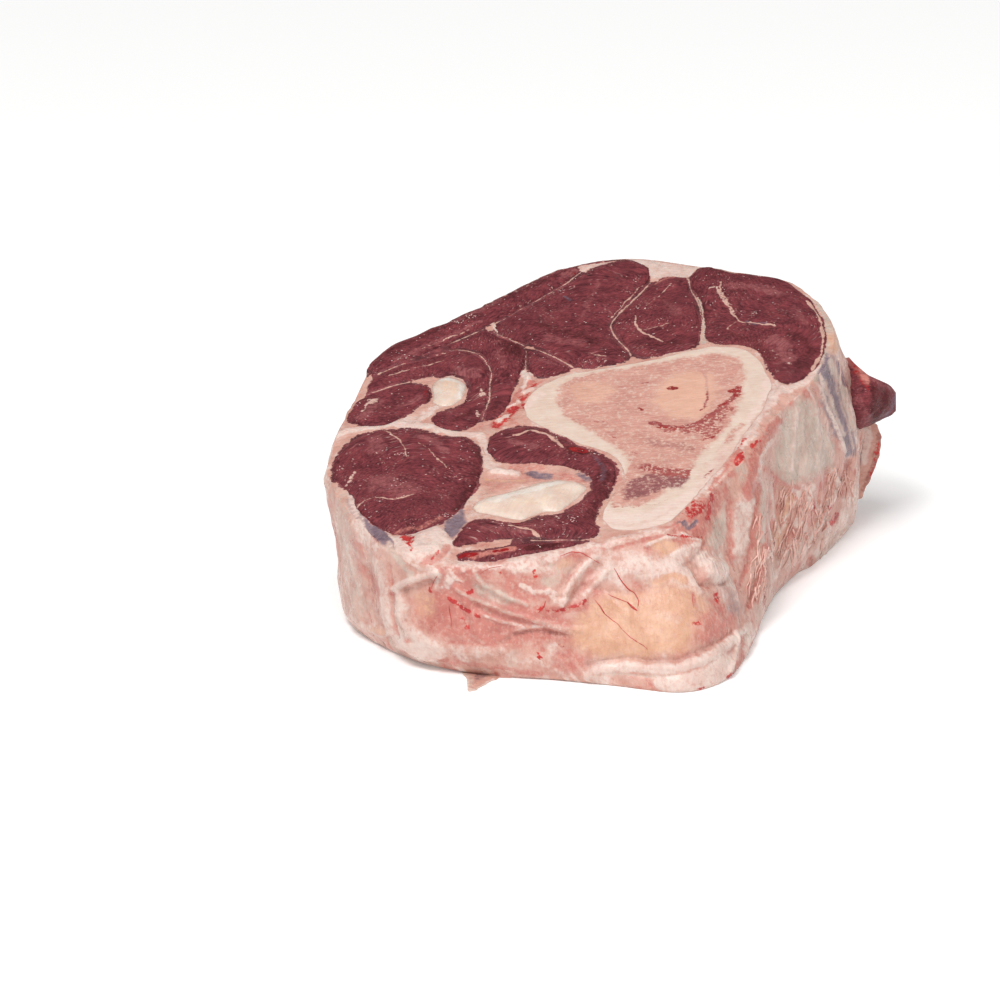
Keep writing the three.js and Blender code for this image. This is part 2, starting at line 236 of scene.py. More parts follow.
@dataclass(frozen=True)
class Mark:
    """A soft-edged line, spot or area of one tissue.

    Attributes:
        tissue: what it shows, or None to only raise or sink the surface.
        width: half width of a line, radius of a spot, or softness of an area's edge, in mm.
        strength: how fully it covers what lies under it.
        ragged: how far its edge wanders, in mm.
        rise: how far it raises the surface, in mm; negative sinks it.
        at: its points. One point makes a spot, more make a line, or the outline of an area.
        filled: True for an area.
    """

    tissue: Tissue | None
    width: float
    strength: float
    ragged: float
    rise: float
    at: tuple[Pair, ...]
    filled: bool


def line(tissue: Tissue | None, width: float, strength: float, ragged: float, rise: float,
         *at: Pair) -> Mark:
    """A line, or with one point a spot, from its numbers in the order of the mark's fields."""
    return Mark(tissue, width, strength, ragged, rise, at, False)


def area(tissue: Tissue | None, width: float, strength: float, ragged: float, rise: float,
         *at: Pair) -> Mark:
    """A filled outline, from its numbers in the order of the mark's fields."""
    return Mark(tissue, width, strength, ragged, rise, at, True)


def seam_path(mark: Mark) -> Points:
    """Closely spaced points along a seam, which wanders a little from its mark."""
    corners = np.array(mark.at, dtype=float)
    path = eased(walked(corners, max(2, int(run_along(corners)[-1] / 0.42))), 8)
    return path + mark.ragged * (sway(path, 3.5, 81) + 0.5 * sway(path, 1.4, 83))


class Canvas:
    """The points of a surface, seen flat, that marks are laid on."""

    def __init__(self, places: Points, layers: Sequence[Tissue], unit: float, seed: int) -> None:
        """
        Args:
            places: n by 2, where each point lies in the view that the marks are drawn in.
            layers: the tissues that the surface can show, in the order they are laid over it.
            unit: what a millimetre measures in that view.
            seed: chooses how edges wander.
        """
        self.places = places
        self.unit = unit
        self.masks = {tissue: np.zeros(len(places)) for tissue in layers}
        self.seam = np.full(len(places), SEAM_FAR)
        self.height = np.zeros(len(places))
        self.reach = np.ones(len(places))
        self.wander = 0.6 * sway(places, 3.0 * unit, seed) + 0.4 * sway(places, 1.1 * unit, seed + 7)

    def paint(self, marks: Iterable[Mark]) -> None:
        """Lays marks on, the last one on top."""
        for mark in marks:
            if mark.tissue is T.SEAM:
                path = seam_path(mark)
                swell = 0.5 * noise(path, 4.0, 85) + 0.5 * noise(path, 1.3, 86)
                self.draw(path, mark.width * (1.0 + 0.7 * swell) + 0.22 * swell)
                continue
            path = np.array(mark.at, dtype=float)
            width = mark.width * self.unit
            margin = 1.7 * width + 2 * mark.ragged * self.unit
            near = self.around(path, margin)
            if not len(near):
                continue
            spots = self.places[near] + self.wander[near] * mark.ragged * self.unit
            gap = distance_to(spots, path, mark.filled)
            if mark.filled:
                gap = np.where(inside(spots, path), gap, -gap)
                cover = smoothstep(-width, width, gap)
                rise = cover
            else:
                cover = 1.0 - smoothstep(0.35 * width, width, gap)
                rise = np.exp(-1.7 * (gap / width) ** 2)
            self.height[near] += rise * self.reach[near] * mark.rise
            if mark.tissue is not None:
                self.lay(mark.tissue, near, cover * self.reach[near] * mark.strength)

    def around(self, path: Points, margin: float) -> Points:
        """Numbers of the points in the box round a path."""
        low, high = path.min(0) - margin, path.max(0) + margin
        return np.flatnonzero(((self.places > low) & (self.places < high)).all(1))

    def draw(self, path: Points, half: Points) -> None:
        """Draws a seam along a path, with its half width at each of the path's points."""
        near = self.around(path, 3.0)
        if len(near):
            closest = np.argmin(((self.places[near, None] - path[None]) ** 2).sum(2), axis=1)
            gap = distance_to(self.places[near], path, False) - half[closest]
            self.seam[near] = np.minimum(self.seam[near], gap)

    def lay(self, tissue: Tissue, where: Points, cover: Points) -> None:
        """Covers points with a tissue, and uncovers it from the tissues that are drawn over it."""
        above = False
        for other, mask in self.masks.items():
            if other is tissue:
                mask[where] = 1.0 - (1.0 - mask[where]) * (1.0 - cover)
                above = True
            elif above:
                mask[where] *= 1.0 - cover


# ---------------------------------------------------------------------------------------------
# Looks
# ---------------------------------------------------------------------------------------------


def linear(code: str) -> Colour:
    """Linear colour of a hexadecimal code such as 'a1b2c3'."""
    parts = [int(code[i : i + 2], 16) / 255 for i in (0, 2, 4)]
    red, green, blue = (c / 12.92 if c <= 0.04045 else ((c + 0.055) / 1.055) ** 2.4 for c in parts)
    return red, green, blue, 1.0


@dataclass(frozen=True)
class Tone:
    """The two colours that a tissue varies between, and how broken and how soft its edges are."""

    tint: str
    shade: str
    broken: float = 0.5
    soft: float = 1.0


@dataclass(frozen=True)
class Finish:
    """How a kind of surface looks.

    Attributes:
        name: the material's name.
        base: what shows where no tissue covers it.
        layers: tissues laid over the base, in order.
        roughness: how dull the wet surface is, at its wettest and its driest.
        shine: strength of its reflections; 0.5 is that of plain skin.
        subsurface: share of light that travels under the surface.
        depth: how far it travels, in metres.
        patch: size of the colour patches, in metres.
        grain: size of the grain across the fibres, in metres.
        grain_stretch: how much longer the grain is along the fibres.
        grain_colour: how strongly the grain shows in the colour.
        bump: how far the fine relief stands up, in metres.
        glint_specks: how many pale spots it has, from 0 to 1; they are painted glints mixed with the ends
            of fibres.
    """

    name: str
    base: Tone
    layers: dict[Tissue, Tone] = field(default_factory=dict)
    roughness: Pair = (0.25, 0.45)
    shine: float = 0.4
    subsurface: float = 0.1
    depth: float = 0.001
    patch: float = 0.003
    grain: float = 0.0008
    grain_stretch: float = 3.0
    grain_colour: float = 0.3
    bump: float = 0.0001
    glint_specks: float = 0.0


SEAM_TONE = Tone("d2aa9a", "b88c80")
# colour of the pale spots on the meat: painted glints mixed with the ends of fibres
SPECK_GLINT_COLOUR = "d9b3aa"
SKIN_DEPTHS = (1.0, 0.45, 0.3)  # how far red, green and blue light travel, as shares of the depth
VESSEL_FINISH = Finish("blood_vessel", Tone("c8443c", "a0302e"), subsurface=0.05, depth=0.0005)
FRAY_FINISH = Finish("frayed_tissue", Tone("e6c4b8", "c8897c"))
# pale lumps: partly flecks of fat, partly painted glints on the wet meat
FLECK_GLINT_FINISH = Finish("fat_fleck_and_glint", Tone("e6cfc9", "c99a94"), shine=0.5, depth=0.0005, patch=0.002,
                      grain=0.0005, grain_stretch=2.0)
LEAN_FINISH = Finish(
    name="lean_meat",
    base=Tone("8a4045", "40161d"),
    layers={
        # lighter meat and painted sheen
        T.PALE: Tone("a05f60", "6a3035"),
        T.DARK: Tone("5a2425", "3a1216"),
        T.LILAC: Tone("7a6672", "584450", 0.5),
        T.WHITE: Tone("dcbcae", "b98e84", 0.9, 0.6),
        T.PINK: Tone("c98478", "a8625a", 0.5),
        T.BLOOD: Tone("a81f22", "6c1016", 0.6, 0.6),
    },
    roughness=(0.3, 0.6), shine=0.13, subsurface=0.05, depth=0.001, patch=0.006, grain=0.0006,
    grain_stretch=3.0, grain_colour=0.65, bump=0.0005, glint_specks=0.6,
)
BONE_FINISH = Finish(
    name="cut_bone",
    base=Tone("d9ad9b", "bf8678"),
    layers={
        T.CORTEX: Tone("d8c6b8", "caae9e", 0.25),
        T.PINK: Tone("d0a091", "ae766c", 0.65),
        T.MARROW: Tone("d9ae99", "c99883", 0.4),
        T.GREY: Tone("98605e", "784548", 0.6),
        T.DARK: Tone("a85a52", "85383d", 0.8, 0.6),
        T.WHITE: Tone("dccbc0", "d3b3a8", 0.5),
        T.BLOOD: Tone("a53833", "78191f", 0.8, 0.8),
    },
    roughness=(0.35, 0.6), shine=0.25, subsurface=0.15, depth=0.002, patch=0.006, grain=0.00045,
    grain_stretch=14.0, grain_colour=0.65, bump=0.00012,
)
TENDON_FINISH = Finish(
    name="tendon",
    base=Tone("dac9bb", "c9ad9d"),
    layers={
        T.PEACH: Tone("dfc6b0", "d1ae97", 0.6),
        T.GREY: Tone("bba695", "a58c7e", 0.4),
        T.WHITE: Tone("e0d8cf", "d0c2b8", 0.4),
        T.BLOOD: Tone("b8403a", "94252a", 0.8),
    },
    roughness=(0.25, 0.42), shine=0.4, subsurface=0.2, depth=0.0025, patch=0.008, grain=0.0009,
    grain_stretch=10.0, grain_colour=0.28, bump=0.00012,
)
FAT_FINISH = Finish(
    name="fat_and_silverskin",
    base=Tone("d1a799", "bc887a"),
    layers={
        T.PINK: Tone("c98377", "b1685e", 0.7),
        T.PEACH: Tone("d8ad93", "c69377", 0.5),
        T.GREY: Tone("cfbaad", "b39d90", 0.5),
        T.LILAC: Tone("8d7880", "5f4a56", 0.35, 0.9),
        T.WHITE: Tone("ddc8be", "cbaba0", 0.5, 0.8),
        T.LEAN: Tone("8a4045", "40161d", 0.5, 0.2),
        # painted shade for creases and folds
        T.HOLLOW: Tone("b47a6d", "925a50", 0.7),
        T.BLOOD: Tone("c93a34", "971e22", 0.9, 0.6),
    },
    roughness=(0.24, 0.5), shine=0.45, subsurface=0.2, depth=0.0025, patch=0.007, grain=0.0012,
    grain_stretch=3.0, grain_colour=0.3, bump=0.0006,
)

Socket = bpy.types.NodeSocket | float | tuple | Vector


class Graph:
    """A node tree that is written one node at a time."""

    def __init__(self, tree: bpy.types.NodeTree) -> None:
        self.tree = tree

    def put(self, socket: bpy.types.NodeSocket, value: Socket) -> None:
        """Links a socket to a node's output, or sets its value."""
        if isinstance(value, bpy.types.NodeSocket):
            self.tree.links.new(value, socket)
        else:
            socket.default_value = value

    def node(self, kind: str, inputs: dict[str | int, Socket] | None = None,
             **settings: object) -> bpy.types.Node:
        """Adds a node, with its settings and its inputs by name or number."""
        made = self.tree.nodes.new(kind)
        for name, value in settings.items():
            setattr(made, name, value)
        for key, value in (inputs or {}).items():
            self.put(made.inputs[key], value)
        return made

    def math(self, operation: str, *values: Socket, clamp: bool = False) -> bpy.types.NodeSocket:
        """One sum of one to three numbers."""
        inputs = dict(enumerate(values))
        return self.node("ShaderNodeMath", inputs, operation=operation, use_clamp=clamp).outputs[0]

    def noise(self, vector: Socket, scale: Socket, detail: float = 3.0, rough: float = 0.5,
              twist: float = 0.0) -> bpy.types.NodeSocket:
        """Smooth random field from 0 to 1."""
        inputs = {"Vector": vector, "Scale": scale, "Detail": detail, "Roughness": rough,
                  "Distortion": twist}
        return self.node("ShaderNodeTexNoise", inputs).outputs["Fac"]

    def ramp(self, value: Socket, low: Socket, high: Socket, start: Socket = 0.0,
             end: Socket = 1.0) -> bpy.types.NodeSocket:
        """A number brought smoothly from one range into another, and held at its ends."""
        inputs = {"Value": value, "From Min": low, "From Max": high, "To Min": start, "To Max": end}
        return self.node("ShaderNodeMapRange", inputs, interpolation_type="SMOOTHSTEP").outputs[0]

    def blend(self, factor: Socket, under: Socket, over: Socket,
              how: str = "MIX") -> bpy.types.NodeSocket:
        """Two colours mixed."""
        inputs = {0: factor, 6: under, 7: over}
        return self.node("ShaderNodeMix", inputs, data_type="RGBA", blend_type=how).outputs[2]

    def attribute(self, name: str) -> bpy.types.Node:
        """A point attribute of the mesh."""
        return self.node("ShaderNodeAttribute", attribute_name=name)


def new_group(name: str, inputs: dict[str, tuple[str, object]],
              outputs: dict[str, str]) -> tuple[Graph, bpy.types.Node, bpy.types.Node]:
    """Makes a shader node group.

    Args:
        name: the group's name.
        inputs: socket kind and value for each input's name.
        outputs: socket kind for each output's name.

    Returns:
        The group's graph, its input node and its output node.
    """
    tree = bpy.data.node_groups.new(name, "ShaderNodeTree")
    for label, (kind, value) in inputs.items():
        made = tree.interface.new_socket(label, in_out="INPUT", socket_type="NodeSocket" + kind)
        if value is not None:
            made.default_value = value
    for label, kind in outputs.items():
        tree.interface.new_socket(label, in_out="OUTPUT", socket_type="NodeSocket" + kind)
    graph = Graph(tree)
    return graph, graph.node("NodeGroupInput"), graph.node("NodeGroupOutput")


def layer_group() -> bpy.types.NodeTree:
    """Lays one tissue over a colour, with edges that break up along a random field."""
    white = (1.0, 1.0, 1.0, 1.0)
    graph, given, out = new_group(
        "tissue_layer",
        {"Under": ("Color", white), "Tint": ("Color", white), "Shade": ("Color", white),
         "Mask": ("Float", 0.0), "Broken": ("Float", 0.5), "Soft": ("Float", 1.0),
         "Patches": ("Float", 0.5), "Fine": ("Float", 0.5)},
        {"Color": "Color", "Cover": "Float"})
    swing = graph.math("MULTIPLY_ADD", given.outputs["Fine"], 2.0, -1.0)
    swing = graph.math("MULTIPLY_ADD", swing, given.outputs["Broken"], 1.0)
    low = graph.math("MULTIPLY_ADD", given.outputs["Soft"], -0.48, 0.5)
    high = graph.math("MULTIPLY_ADD", given.outputs["Soft"], 0.48, 0.5)
    cover = graph.ramp(graph.math("MULTIPLY", given.outputs["Mask"], swing), low, high)
    own = graph.blend(given.outputs["Patches"], given.outputs["Shade"], given.outputs["Tint"])
    graph.put(out.inputs["Color"], graph.blend(cover, given.outputs["Under"], own))
    graph.put(out.inputs["Cover"], cover)
    return graph.tree


def grain_group() -> bpy.types.NodeTree:
    """Fibres and small lumps. Gives a height from 0 to 1, streaks, and a mask of pale spots: painted
    glints mixed with fibre ends.
    """
    graph, given, out = new_group(
        "grain",
        {"Vector": ("Vector", None), "Place": ("Vector", None), "Across": ("Float", 900.0),
         "Along": ("Float", 300.0), "Glint Specks": ("Float", 0.0)},
        {"Height": "Float", "Streaks": "Float", "Glint Specks": "Float"})
    parts = graph.node("ShaderNodeSeparateXYZ", {0: given.outputs["Vector"]})
    along = graph.math("MULTIPLY", parts.outputs[0], given.outputs["Along"])
    across = graph.math("MULTIPLY", parts.outputs[1], given.outputs["Across"])
    deep = graph.math("MULTIPLY", parts.outputs[2], given.outputs["Across"])
    fibre = graph.node("ShaderNodeCombineXYZ", {0: along, 1: across, 2: deep}).outputs[0]
    streaks = graph.noise(fibre, 1.0, 4.0, 0.7, 0.5)
    size = graph.math("MULTIPLY", given.outputs["Across"], 0.8)
    lumps = graph.noise(given.outputs["Place"], size, 4.0, 0.65)
    height = graph.math("MULTIPLY_ADD", streaks, 0.5, graph.math("MULTIPLY", lumps, 0.5))
    # pale spots along the fibres: painted glints mixed with fibre ends
    cells = graph.node("ShaderNodeTexVoronoi", {"Vector": fibre, "Scale": 1.3, "Randomness": 1.0})
    small = graph.ramp(cells.outputs["Distance"], 0.38, 0.12)
    where = graph.noise(given.outputs["Place"], 160.0, 3.0, 0.6)
    where = graph.ramp(where, 0.42, 0.64)
    chosen = graph.node("ShaderNodeSeparateXYZ", {0: cells.outputs["Color"]}).outputs[0]
    chosen = graph.ramp(chosen, 0.25, 0.8)
    glint_specks = graph.math("MULTIPLY", graph.math("MULTIPLY", small, where), chosen)
    glint_specks = graph.math("MULTIPLY", glint_specks, given.outputs["Glint Specks"])
    graph.put(out.inputs["Height"], height)
    graph.put(out.inputs["Streaks"], graph.ramp(streaks, 0.34, 0.66))
    graph.put(out.inputs["Glint Specks"], glint_specks)
    return graph.tree


def wet_group() -> bpy.types.NodeTree:
    """Where the surface is wetter, and its normal."""
    graph, given, out = new_group(
        "wetness",
        {"Vector": ("Vector", None), "Height": ("Float", 0.5), "Depth": ("Float", 0.0002),
         "Wettest": ("Float", 0.3), "Driest": ("Float", 0.5)},
        {"Roughness": "Float", "Normal": "Vector"})
    pools = graph.noise(given.outputs["Vector"], 240.0, 3.0, 0.6)
    rough = graph.ramp(pools, 0.35, 0.65, given.outputs["Wettest"], given.outputs["Driest"])
    bump = graph.node("ShaderNodeBump", {"Strength": 1.0, "Distance": given.outputs["Depth"],
                                         "Height": given.outputs["Height"]})
    graph.put(out.inputs["Roughness"], rough)
    graph.put(out.inputs["Normal"], bump.outputs[0])
    return graph.tree


class Paints:
    """Makes the materials, and the node groups that they share."""

    def __init__(self) -> None:
        self.layer = layer_group()
        self.grain = grain_group()
        self.wet = wet_group()

    def material(self, finish: Finish) -> bpy.types.Material:
        """The material of a finish."""
        material = bpy.data.materials.new(finish.name)
        material.use_nodes = True
        material.node_tree.nodes.clear()
        graph = Graph(material.node_tree)
        place = graph.node("ShaderNodeTexCoord").outputs["Object"]
        fibres = graph.attribute("fibres").outputs["Vector"] if finish.layers else place
        patches = graph.noise(place, 1.0 / finish.patch, 4.0, 0.6, 0.4)
        patches = graph.ramp(patches, 0.32, 0.68)
        fine = graph.noise(place, 5.0 / finish.patch, 3.0, 0.65)
        fine = graph.ramp(fine, 0.3, 0.7)
        grain = self.use(graph, self.grain, {
            "Vector": fibres, "Place": place, "Across": 1.0 / finish.grain,
            "Along": 1.0 / (finish.grain * finish.grain_stretch), "Glint Specks": finish.glint_specks})
        mottle = graph.math("MULTIPLY_ADD", grain.outputs["Streaks"], finish.grain_colour,
                            graph.math("MULTIPLY", patches, 1.0 - finish.grain_colour))
        colour = graph.blend(mottle, linear(finish.base.shade), linear(finish.base.tint))
        # lays on the pale spots, painted glints mixed with fibre ends
        colour = graph.blend(grain.outputs["Glint Specks"], colour, linear(SPECK_GLINT_COLOUR))
        for tissue, tone in finish.layers.items():
            layer = self.use(graph, self.layer, {
                "Under": colour, "Tint": linear(tone.tint), "Shade": linear(tone.shade),
                "Mask": graph.attribute(tissue.mask).outputs["Fac"], "Broken": tone.broken,
                "Soft": tone.soft, "Patches": mottle, "Fine": fine})
            colour = layer.outputs["Color"]
        if finish.layers:
            gap = graph.math("MULTIPLY_ADD", fine, -0.35, graph.attribute("gap_seam").outputs["Fac"])
            own = graph.blend(mottle, linear(SEAM_TONE.shade), linear(SEAM_TONE.tint))
            colour = graph.blend(graph.ramp(gap, 0.0, -0.3), colour, own)
        wet = self.use(graph, self.wet, {
            "Vector": place, "Height": grain.outputs["Height"], "Depth": finish.bump,
            "Wettest": finish.roughness[0], "Driest": finish.roughness[1]})
        shader = graph.node("ShaderNodeBsdfPrincipled", {
            "Base Color": colour, "Roughness": wet.outputs["Roughness"],
            "Normal": wet.outputs["Normal"], "Specular IOR Level": finish.shine,
            "Subsurface Weight": finish.subsurface, "Subsurface Radius": SKIN_DEPTHS,
            "Subsurface Scale": finish.depth})
        graph.node("ShaderNodeOutputMaterial", {"Surface": shader.outputs[0]})
        return material

    @staticmethod
    def use(graph: Graph, tree: bpy.types.NodeTree, inputs: dict[str, Socket]) -> bpy.types.Node:
        """Adds a node that uses a group."""
        made = graph.node("ShaderNodeGroup", node_tree=tree)
        for name, value in inputs.items():
            graph.put(made.inputs[name], value)
        return made


# ---------------------------------------------------------------------------------------------
# The front view
# ---------------------------------------------------------------------------------------------


class FrontView:
    """The camera that the slice is seen from, and where points of it appear."""

    PLACE = np.array([-39.72, -1361.21, 452.49])
    PITCH = math.radians(17.337)  # how far it looks down
    FRAME = 1000.0  # the view's width and height
    LENS = 4427.0  # focal length, in the view's units
    UNIT = 3.03  # what a millimetre of the slice measures in the view

    @classmethod
    def project(cls, points: Points) -> Points:
        """Where points appear, right and down from the view's upper left corner."""
        x, y, z = (points - cls.PLACE).T
        deep = y * math.cos(cls.PITCH) - z * math.sin(cls.PITCH)
        down = -y * math.sin(cls.PITCH) - z * math.cos(cls.PITCH)
        half = cls.FRAME / 2
        return np.column_stack([half + cls.LENS * x / deep, half + cls.LENS * down / deep])

    @classmethod
    def facing(cls, points: Points, normals: Points) -> Points:
        """How far each point's surface faces the camera, from -1 to 1."""
        away = cls.PLACE - points
        away /= np.linalg.norm(away, axis=1, keepdims=True)
        return (away * normals).sum(1)

    @classmethod
    def rays(cls, seen: Sequence[Pair]) -> Points:
        """Directions from the camera to places of the view."""
        right, down = (np.array(seen, dtype=float).T - cls.FRAME / 2) / cls.LENS
        cosine, sine = math.cos(cls.PITCH), math.sin(cls.PITCH)
        return np.column_stack([right, cosine - down * sine, -sine - down * cosine])

    @classmethod
    def at_depth(cls, seen: Sequence[Pair], y: float) -> Points:
        """Where places of the view lie on an upright plane that faces the front."""
        way = cls.rays(seen)
        return cls.PLACE + way * ((y - cls.PLACE[1]) / way[:, 1])[:, None]

    @classmethod
    def on_floor(cls, seen: Sequence[Pair]) -> Points:
        """Where places of the view lie on the floor."""
        way = cls.rays(seen)
        return cls.PLACE + way * (-cls.PLACE[2] / way[:, 2])[:, None]

    @classmethod
    def on_cut(cls, plane: "CutPlane", mark: Mark) -> Mark:
        """A mark of the front view as a mark in the plan of the upper cut face."""
        way = cls.rays(mark.at)
        x, y, z = cls.PLACE
        over = z - (plane.height + plane.lean_x * x + plane.lean_y * y)
        steps = over / (way @ np.array([plane.lean_x, plane.lean_y, -1.0]))
        places = cls.PLACE[:2] + way[:, :2] * steps[:, None] - SHIN_AXIS
        return replace(mark, at=tuple((float(px), float(py)) for px, py in places))


# ---------------------------------------------------------------------------------------------
# The cut faces
# ---------------------------------------------------------------------------------------------


def chained(edges: dict[int, list[int]]) -> list[list[int]]:
    """The closed chains of points that edges make."""
    left, chains = set(edges), []
    while left:
        start = left.pop()
        chain, here = [start], start
        while True:
            step = next((n for n in edges[here] if n in left), None)
            if step is None:
                break
            left.discard(step)
            chain.append(step)
            here = step
        chains.append(chain)
    return chains


def cad_outline(node: str) -> Points:
    """Outline of a CAD node's upper cut face in the plan, anticlockwise, in mm."""
    bm = bmesh.new()
    bm.from_mesh(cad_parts[node].data)
    bmesh.ops.remove_doubles(bm, verts=bm.verts, dist=1e-6)
    middle = sum(v.co.z for v in bm.verts) / len(bm.verts)
    top = {f for f in bm.faces if f.normal.z > 0.5 and f.calc_center_median().z > middle}
    edges: dict[int, list[int]] = {}
    for edge in bm.edges:
        if sum(f in top for f in edge.link_faces) == 1:
            a, b = (v.index for v in edge.verts)
            edges.setdefault(a, []).append(b)
            edges.setdefault(b, []).append(a)
    bm.verts.ensure_lookup_table()
    chain = max(chained(edges), key=len)
    loop = np.array([bm.verts[i].co[:2] for i in chain]) / MM
    bm.free()
    x, y = loop.T
    turns_left = (x * np.roll(y, -1) - np.roll(x, -1) * y).sum() > 0
    return loop if turns_left else loop[::-1]


@dataclass
class CutPlane:
    """The upper cut face's plane, in the row frame, in mm."""

    height: float
    lean_x: float
    lean_y: float

    @classmethod
    def of_node(cls, node: str) -> "CutPlane":
        """The plane through the top of a CAD node that is cut flat."""
        vertices = np.array([v.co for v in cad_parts[node].data.vertices]) / MM
        loop = cad_outline(node)
        top = np.array([vertices[np.hypot(*(vertices[:, :2] - p).T) < 0.01].max(0) for p in loop])
        terms = np.column_stack([np.ones(len(top)), top[:, :2]])
        return cls(*np.linalg.lstsq(terms, top[:, 2], rcond=None)[0])

    def at(self, places: Points) -> Points:
        """Height of the plane at places of the plan."""
        return self.height + self.lean_x * places[:, 0] + self.lean_y * places[:, 1]


def set_field(mesh: bpy.types.Mesh, name: str, values: Points) -> None:
    """Gives each point of a mesh a number."""
    made = mesh.attributes.new(name, "FLOAT", "POINT")
    made.data.foreach_set("value", values.astype(np.float32))


def linked(name: str, data: bpy.types.ID) -> bpy.types.Object:
    """A new object in the scene."""
    made = bpy.data.objects.new(name, data)
    bpy.context.scene.collection.objects.link(made)
    return made


@dataclass
class MeshParts:
    """The points and faces of a mesh while it is made."""

    SHARP: ClassVar[float] = math.radians(55)  # faces that meet more sharply show an edge

    points: list[Points] = field(default_factory=list)
    places: list[Points] = field(default_factory=list)
    faces: list[Points] = field(default_factory=list)
    count: int = 0

    def add_points(self, points: Points, places: Points) -> Points:
        """Adds points, with where each lies in the plan, and returns their numbers."""
        first = self.count
        self.points.append(points)
        self.places.append(places)
        self.count += len(points)
        return np.arange(first, self.count)

    def add_faces(self, faces: Points) -> None:
        """Adds faces of three or four points."""
        self.faces.append(np.asarray(faces))

    def add_band(self, upper: Points, lower: Points) -> None:
        """Adds faces between two closed rows of points, facing out where the rows turn left."""
        u, v = np.roll(upper, -1), np.roll(lower, -1)
        self.add_faces(np.stack([upper, lower, v, u], axis=1))

    def build(self, name: str, material: bpy.types.Material, canvas: "Canvas",
              fibres: Points | None = None, plain: int = 0) -> bpy.types.Object:
        """Makes the object.

        Args:
            name: its name.
            material: its material.
            canvas: holds what its points show.
            fibres: its points as millimetres along and across its fibres.
            plain: how many of its first triangles have no fibres of their own.

        Returns:
            The object.
        """
        points = np.vstack(self.points) * MM
        faces = [tuple(f) for group in self.faces for f in group.tolist()]
        mesh = bpy.data.meshes.new(name)
        mesh.from_pydata(points.tolist(), [], faces)
        mesh.shade_smooth()
        mesh.set_sharp_from_angle(angle=self.SHARP)
        for tissue, mask in canvas.masks.items():
            set_field(mesh, tissue.mask, np.clip(mask, 0, 1))
        set_field(mesh, "gap_seam", canvas.seam)
        corners = np.empty(len(mesh.loops), dtype=np.int32)
        mesh.loops.foreach_get("vertex_index", corners)
        grain = points[corners] if fibres is None else fibres[corners] * MM
        grain[: 3 * plain] = points[corners[: 3 * plain]]
        made = mesh.attributes.new("fibres", "FLOAT_VECTOR", "CORNER")
        made.data.foreach_set("vector", grain.astype(np.float32).ravel())
        mesh.materials.append(material)
        log.info("%s: %d faces", name, len(mesh.polygons))
        return linked(name, mesh)


def clear_of(points: Points, path: Points, closed: bool, reach: float) -> Points:
    """The points that are farther than a reach from a line."""
    near = ((points > path.min(0) - 2 * reach) & (points < path.max(0) + 2 * reach)).all(1)
    drop = np.zeros(len(points), dtype=bool)
    drop[near] = distance_to(points[near], path, closed) < reach
    return points[~drop]


def fill(outer: Points, holes: Sequence[Points], spacing: float, seed: int,
         lines: Sequence[Points] = ()) -> tuple[Points, Points]:
    """Divides the ground between an outline and the holes in it into triangles.

    Args:
        outer: the outline, anticlockwise.
        holes: the holes' outlines.
        spacing: distance between the points that are added inside.
        seed: chooses how those points are shaken.
        lines: lines that must have points on them.

    Returns:
        The points added inside, and the triangles. Triangles number the outline's points first,
        then each hole's, then the points inside.
    """
    spacing *= COARSE
    low, high = outer.min(0), outer.max(0)
    rows = np.arange(low[1], high[1], spacing * math.sqrt(0.75))
    columns = np.arange(low[0], high[0], spacing)
    x, y = np.meshgrid(columns, rows)
    x[1::2] += spacing / 2
    grid = np.column_stack([x.ravel(), y.ravel()])
    grid += 0.16 * spacing * sway(grid, 0.7 * spacing, seed)
    for path in lines:
        grid = np.vstack([clear_of(grid, path, False, 0.55 * spacing), path])
    grid = grid[inside(grid, outer)]
    for hole in holes:
        box = ((grid > hole.min(0)) & (grid < hole.max(0))).all(1)
        drop = np.zeros(len(grid), dtype=bool)
        drop[box] = inside(grid[box], hole)
        grid = grid[~drop]
    for loop in (outer, *holes):
        grid = clear_of(grid, loop, True, 0.5 * spacing)
    edges, first = [], 0
    for loop in (outer, *holes):
        edges += [(first + i, first + (i + 1) % len(loop)) for i in range(len(loop))]
        first += len(loop)
    every = np.vstack([outer, *holes, grid])
    found, _, faces, origin, _, _ = delaunay_2d_cdt(
        [Vector(p) for p in every.tolist()], edges, [], 0, 1e-7, True)
    source = np.array([o[0] if o else -1 for o in origin])
    if len(found) != len(every) or (source < 0).any():
        raise ValueError("two outlines of the cut face cross")
    triangles = source[np.array(faces)]
    doubtful = (triangles < first).all(1)
    centres = every[triangles].mean(1)
    keep = ~doubtful
    spots = centres[doubtful]
    within = inside(spots, outer)
    for hole in holes:
        within &= ~inside(spots, hole)
    keep[doubtful] = within
    triangles = triangles[keep]
    a, b, c = (every[triangles[:, i]] for i in range(3))
    area_sign = (b[:, 0] - a[:, 0]) * (c[:, 1] - a[:, 1]) - (b[:, 1] - a[:, 1]) * (c[:, 0] - a[:, 0])
    triangles[area_sign < 0] = triangles[area_sign < 0][:, ::-1]
    return grid, triangles[np.abs(area_sign) > 1e-9]


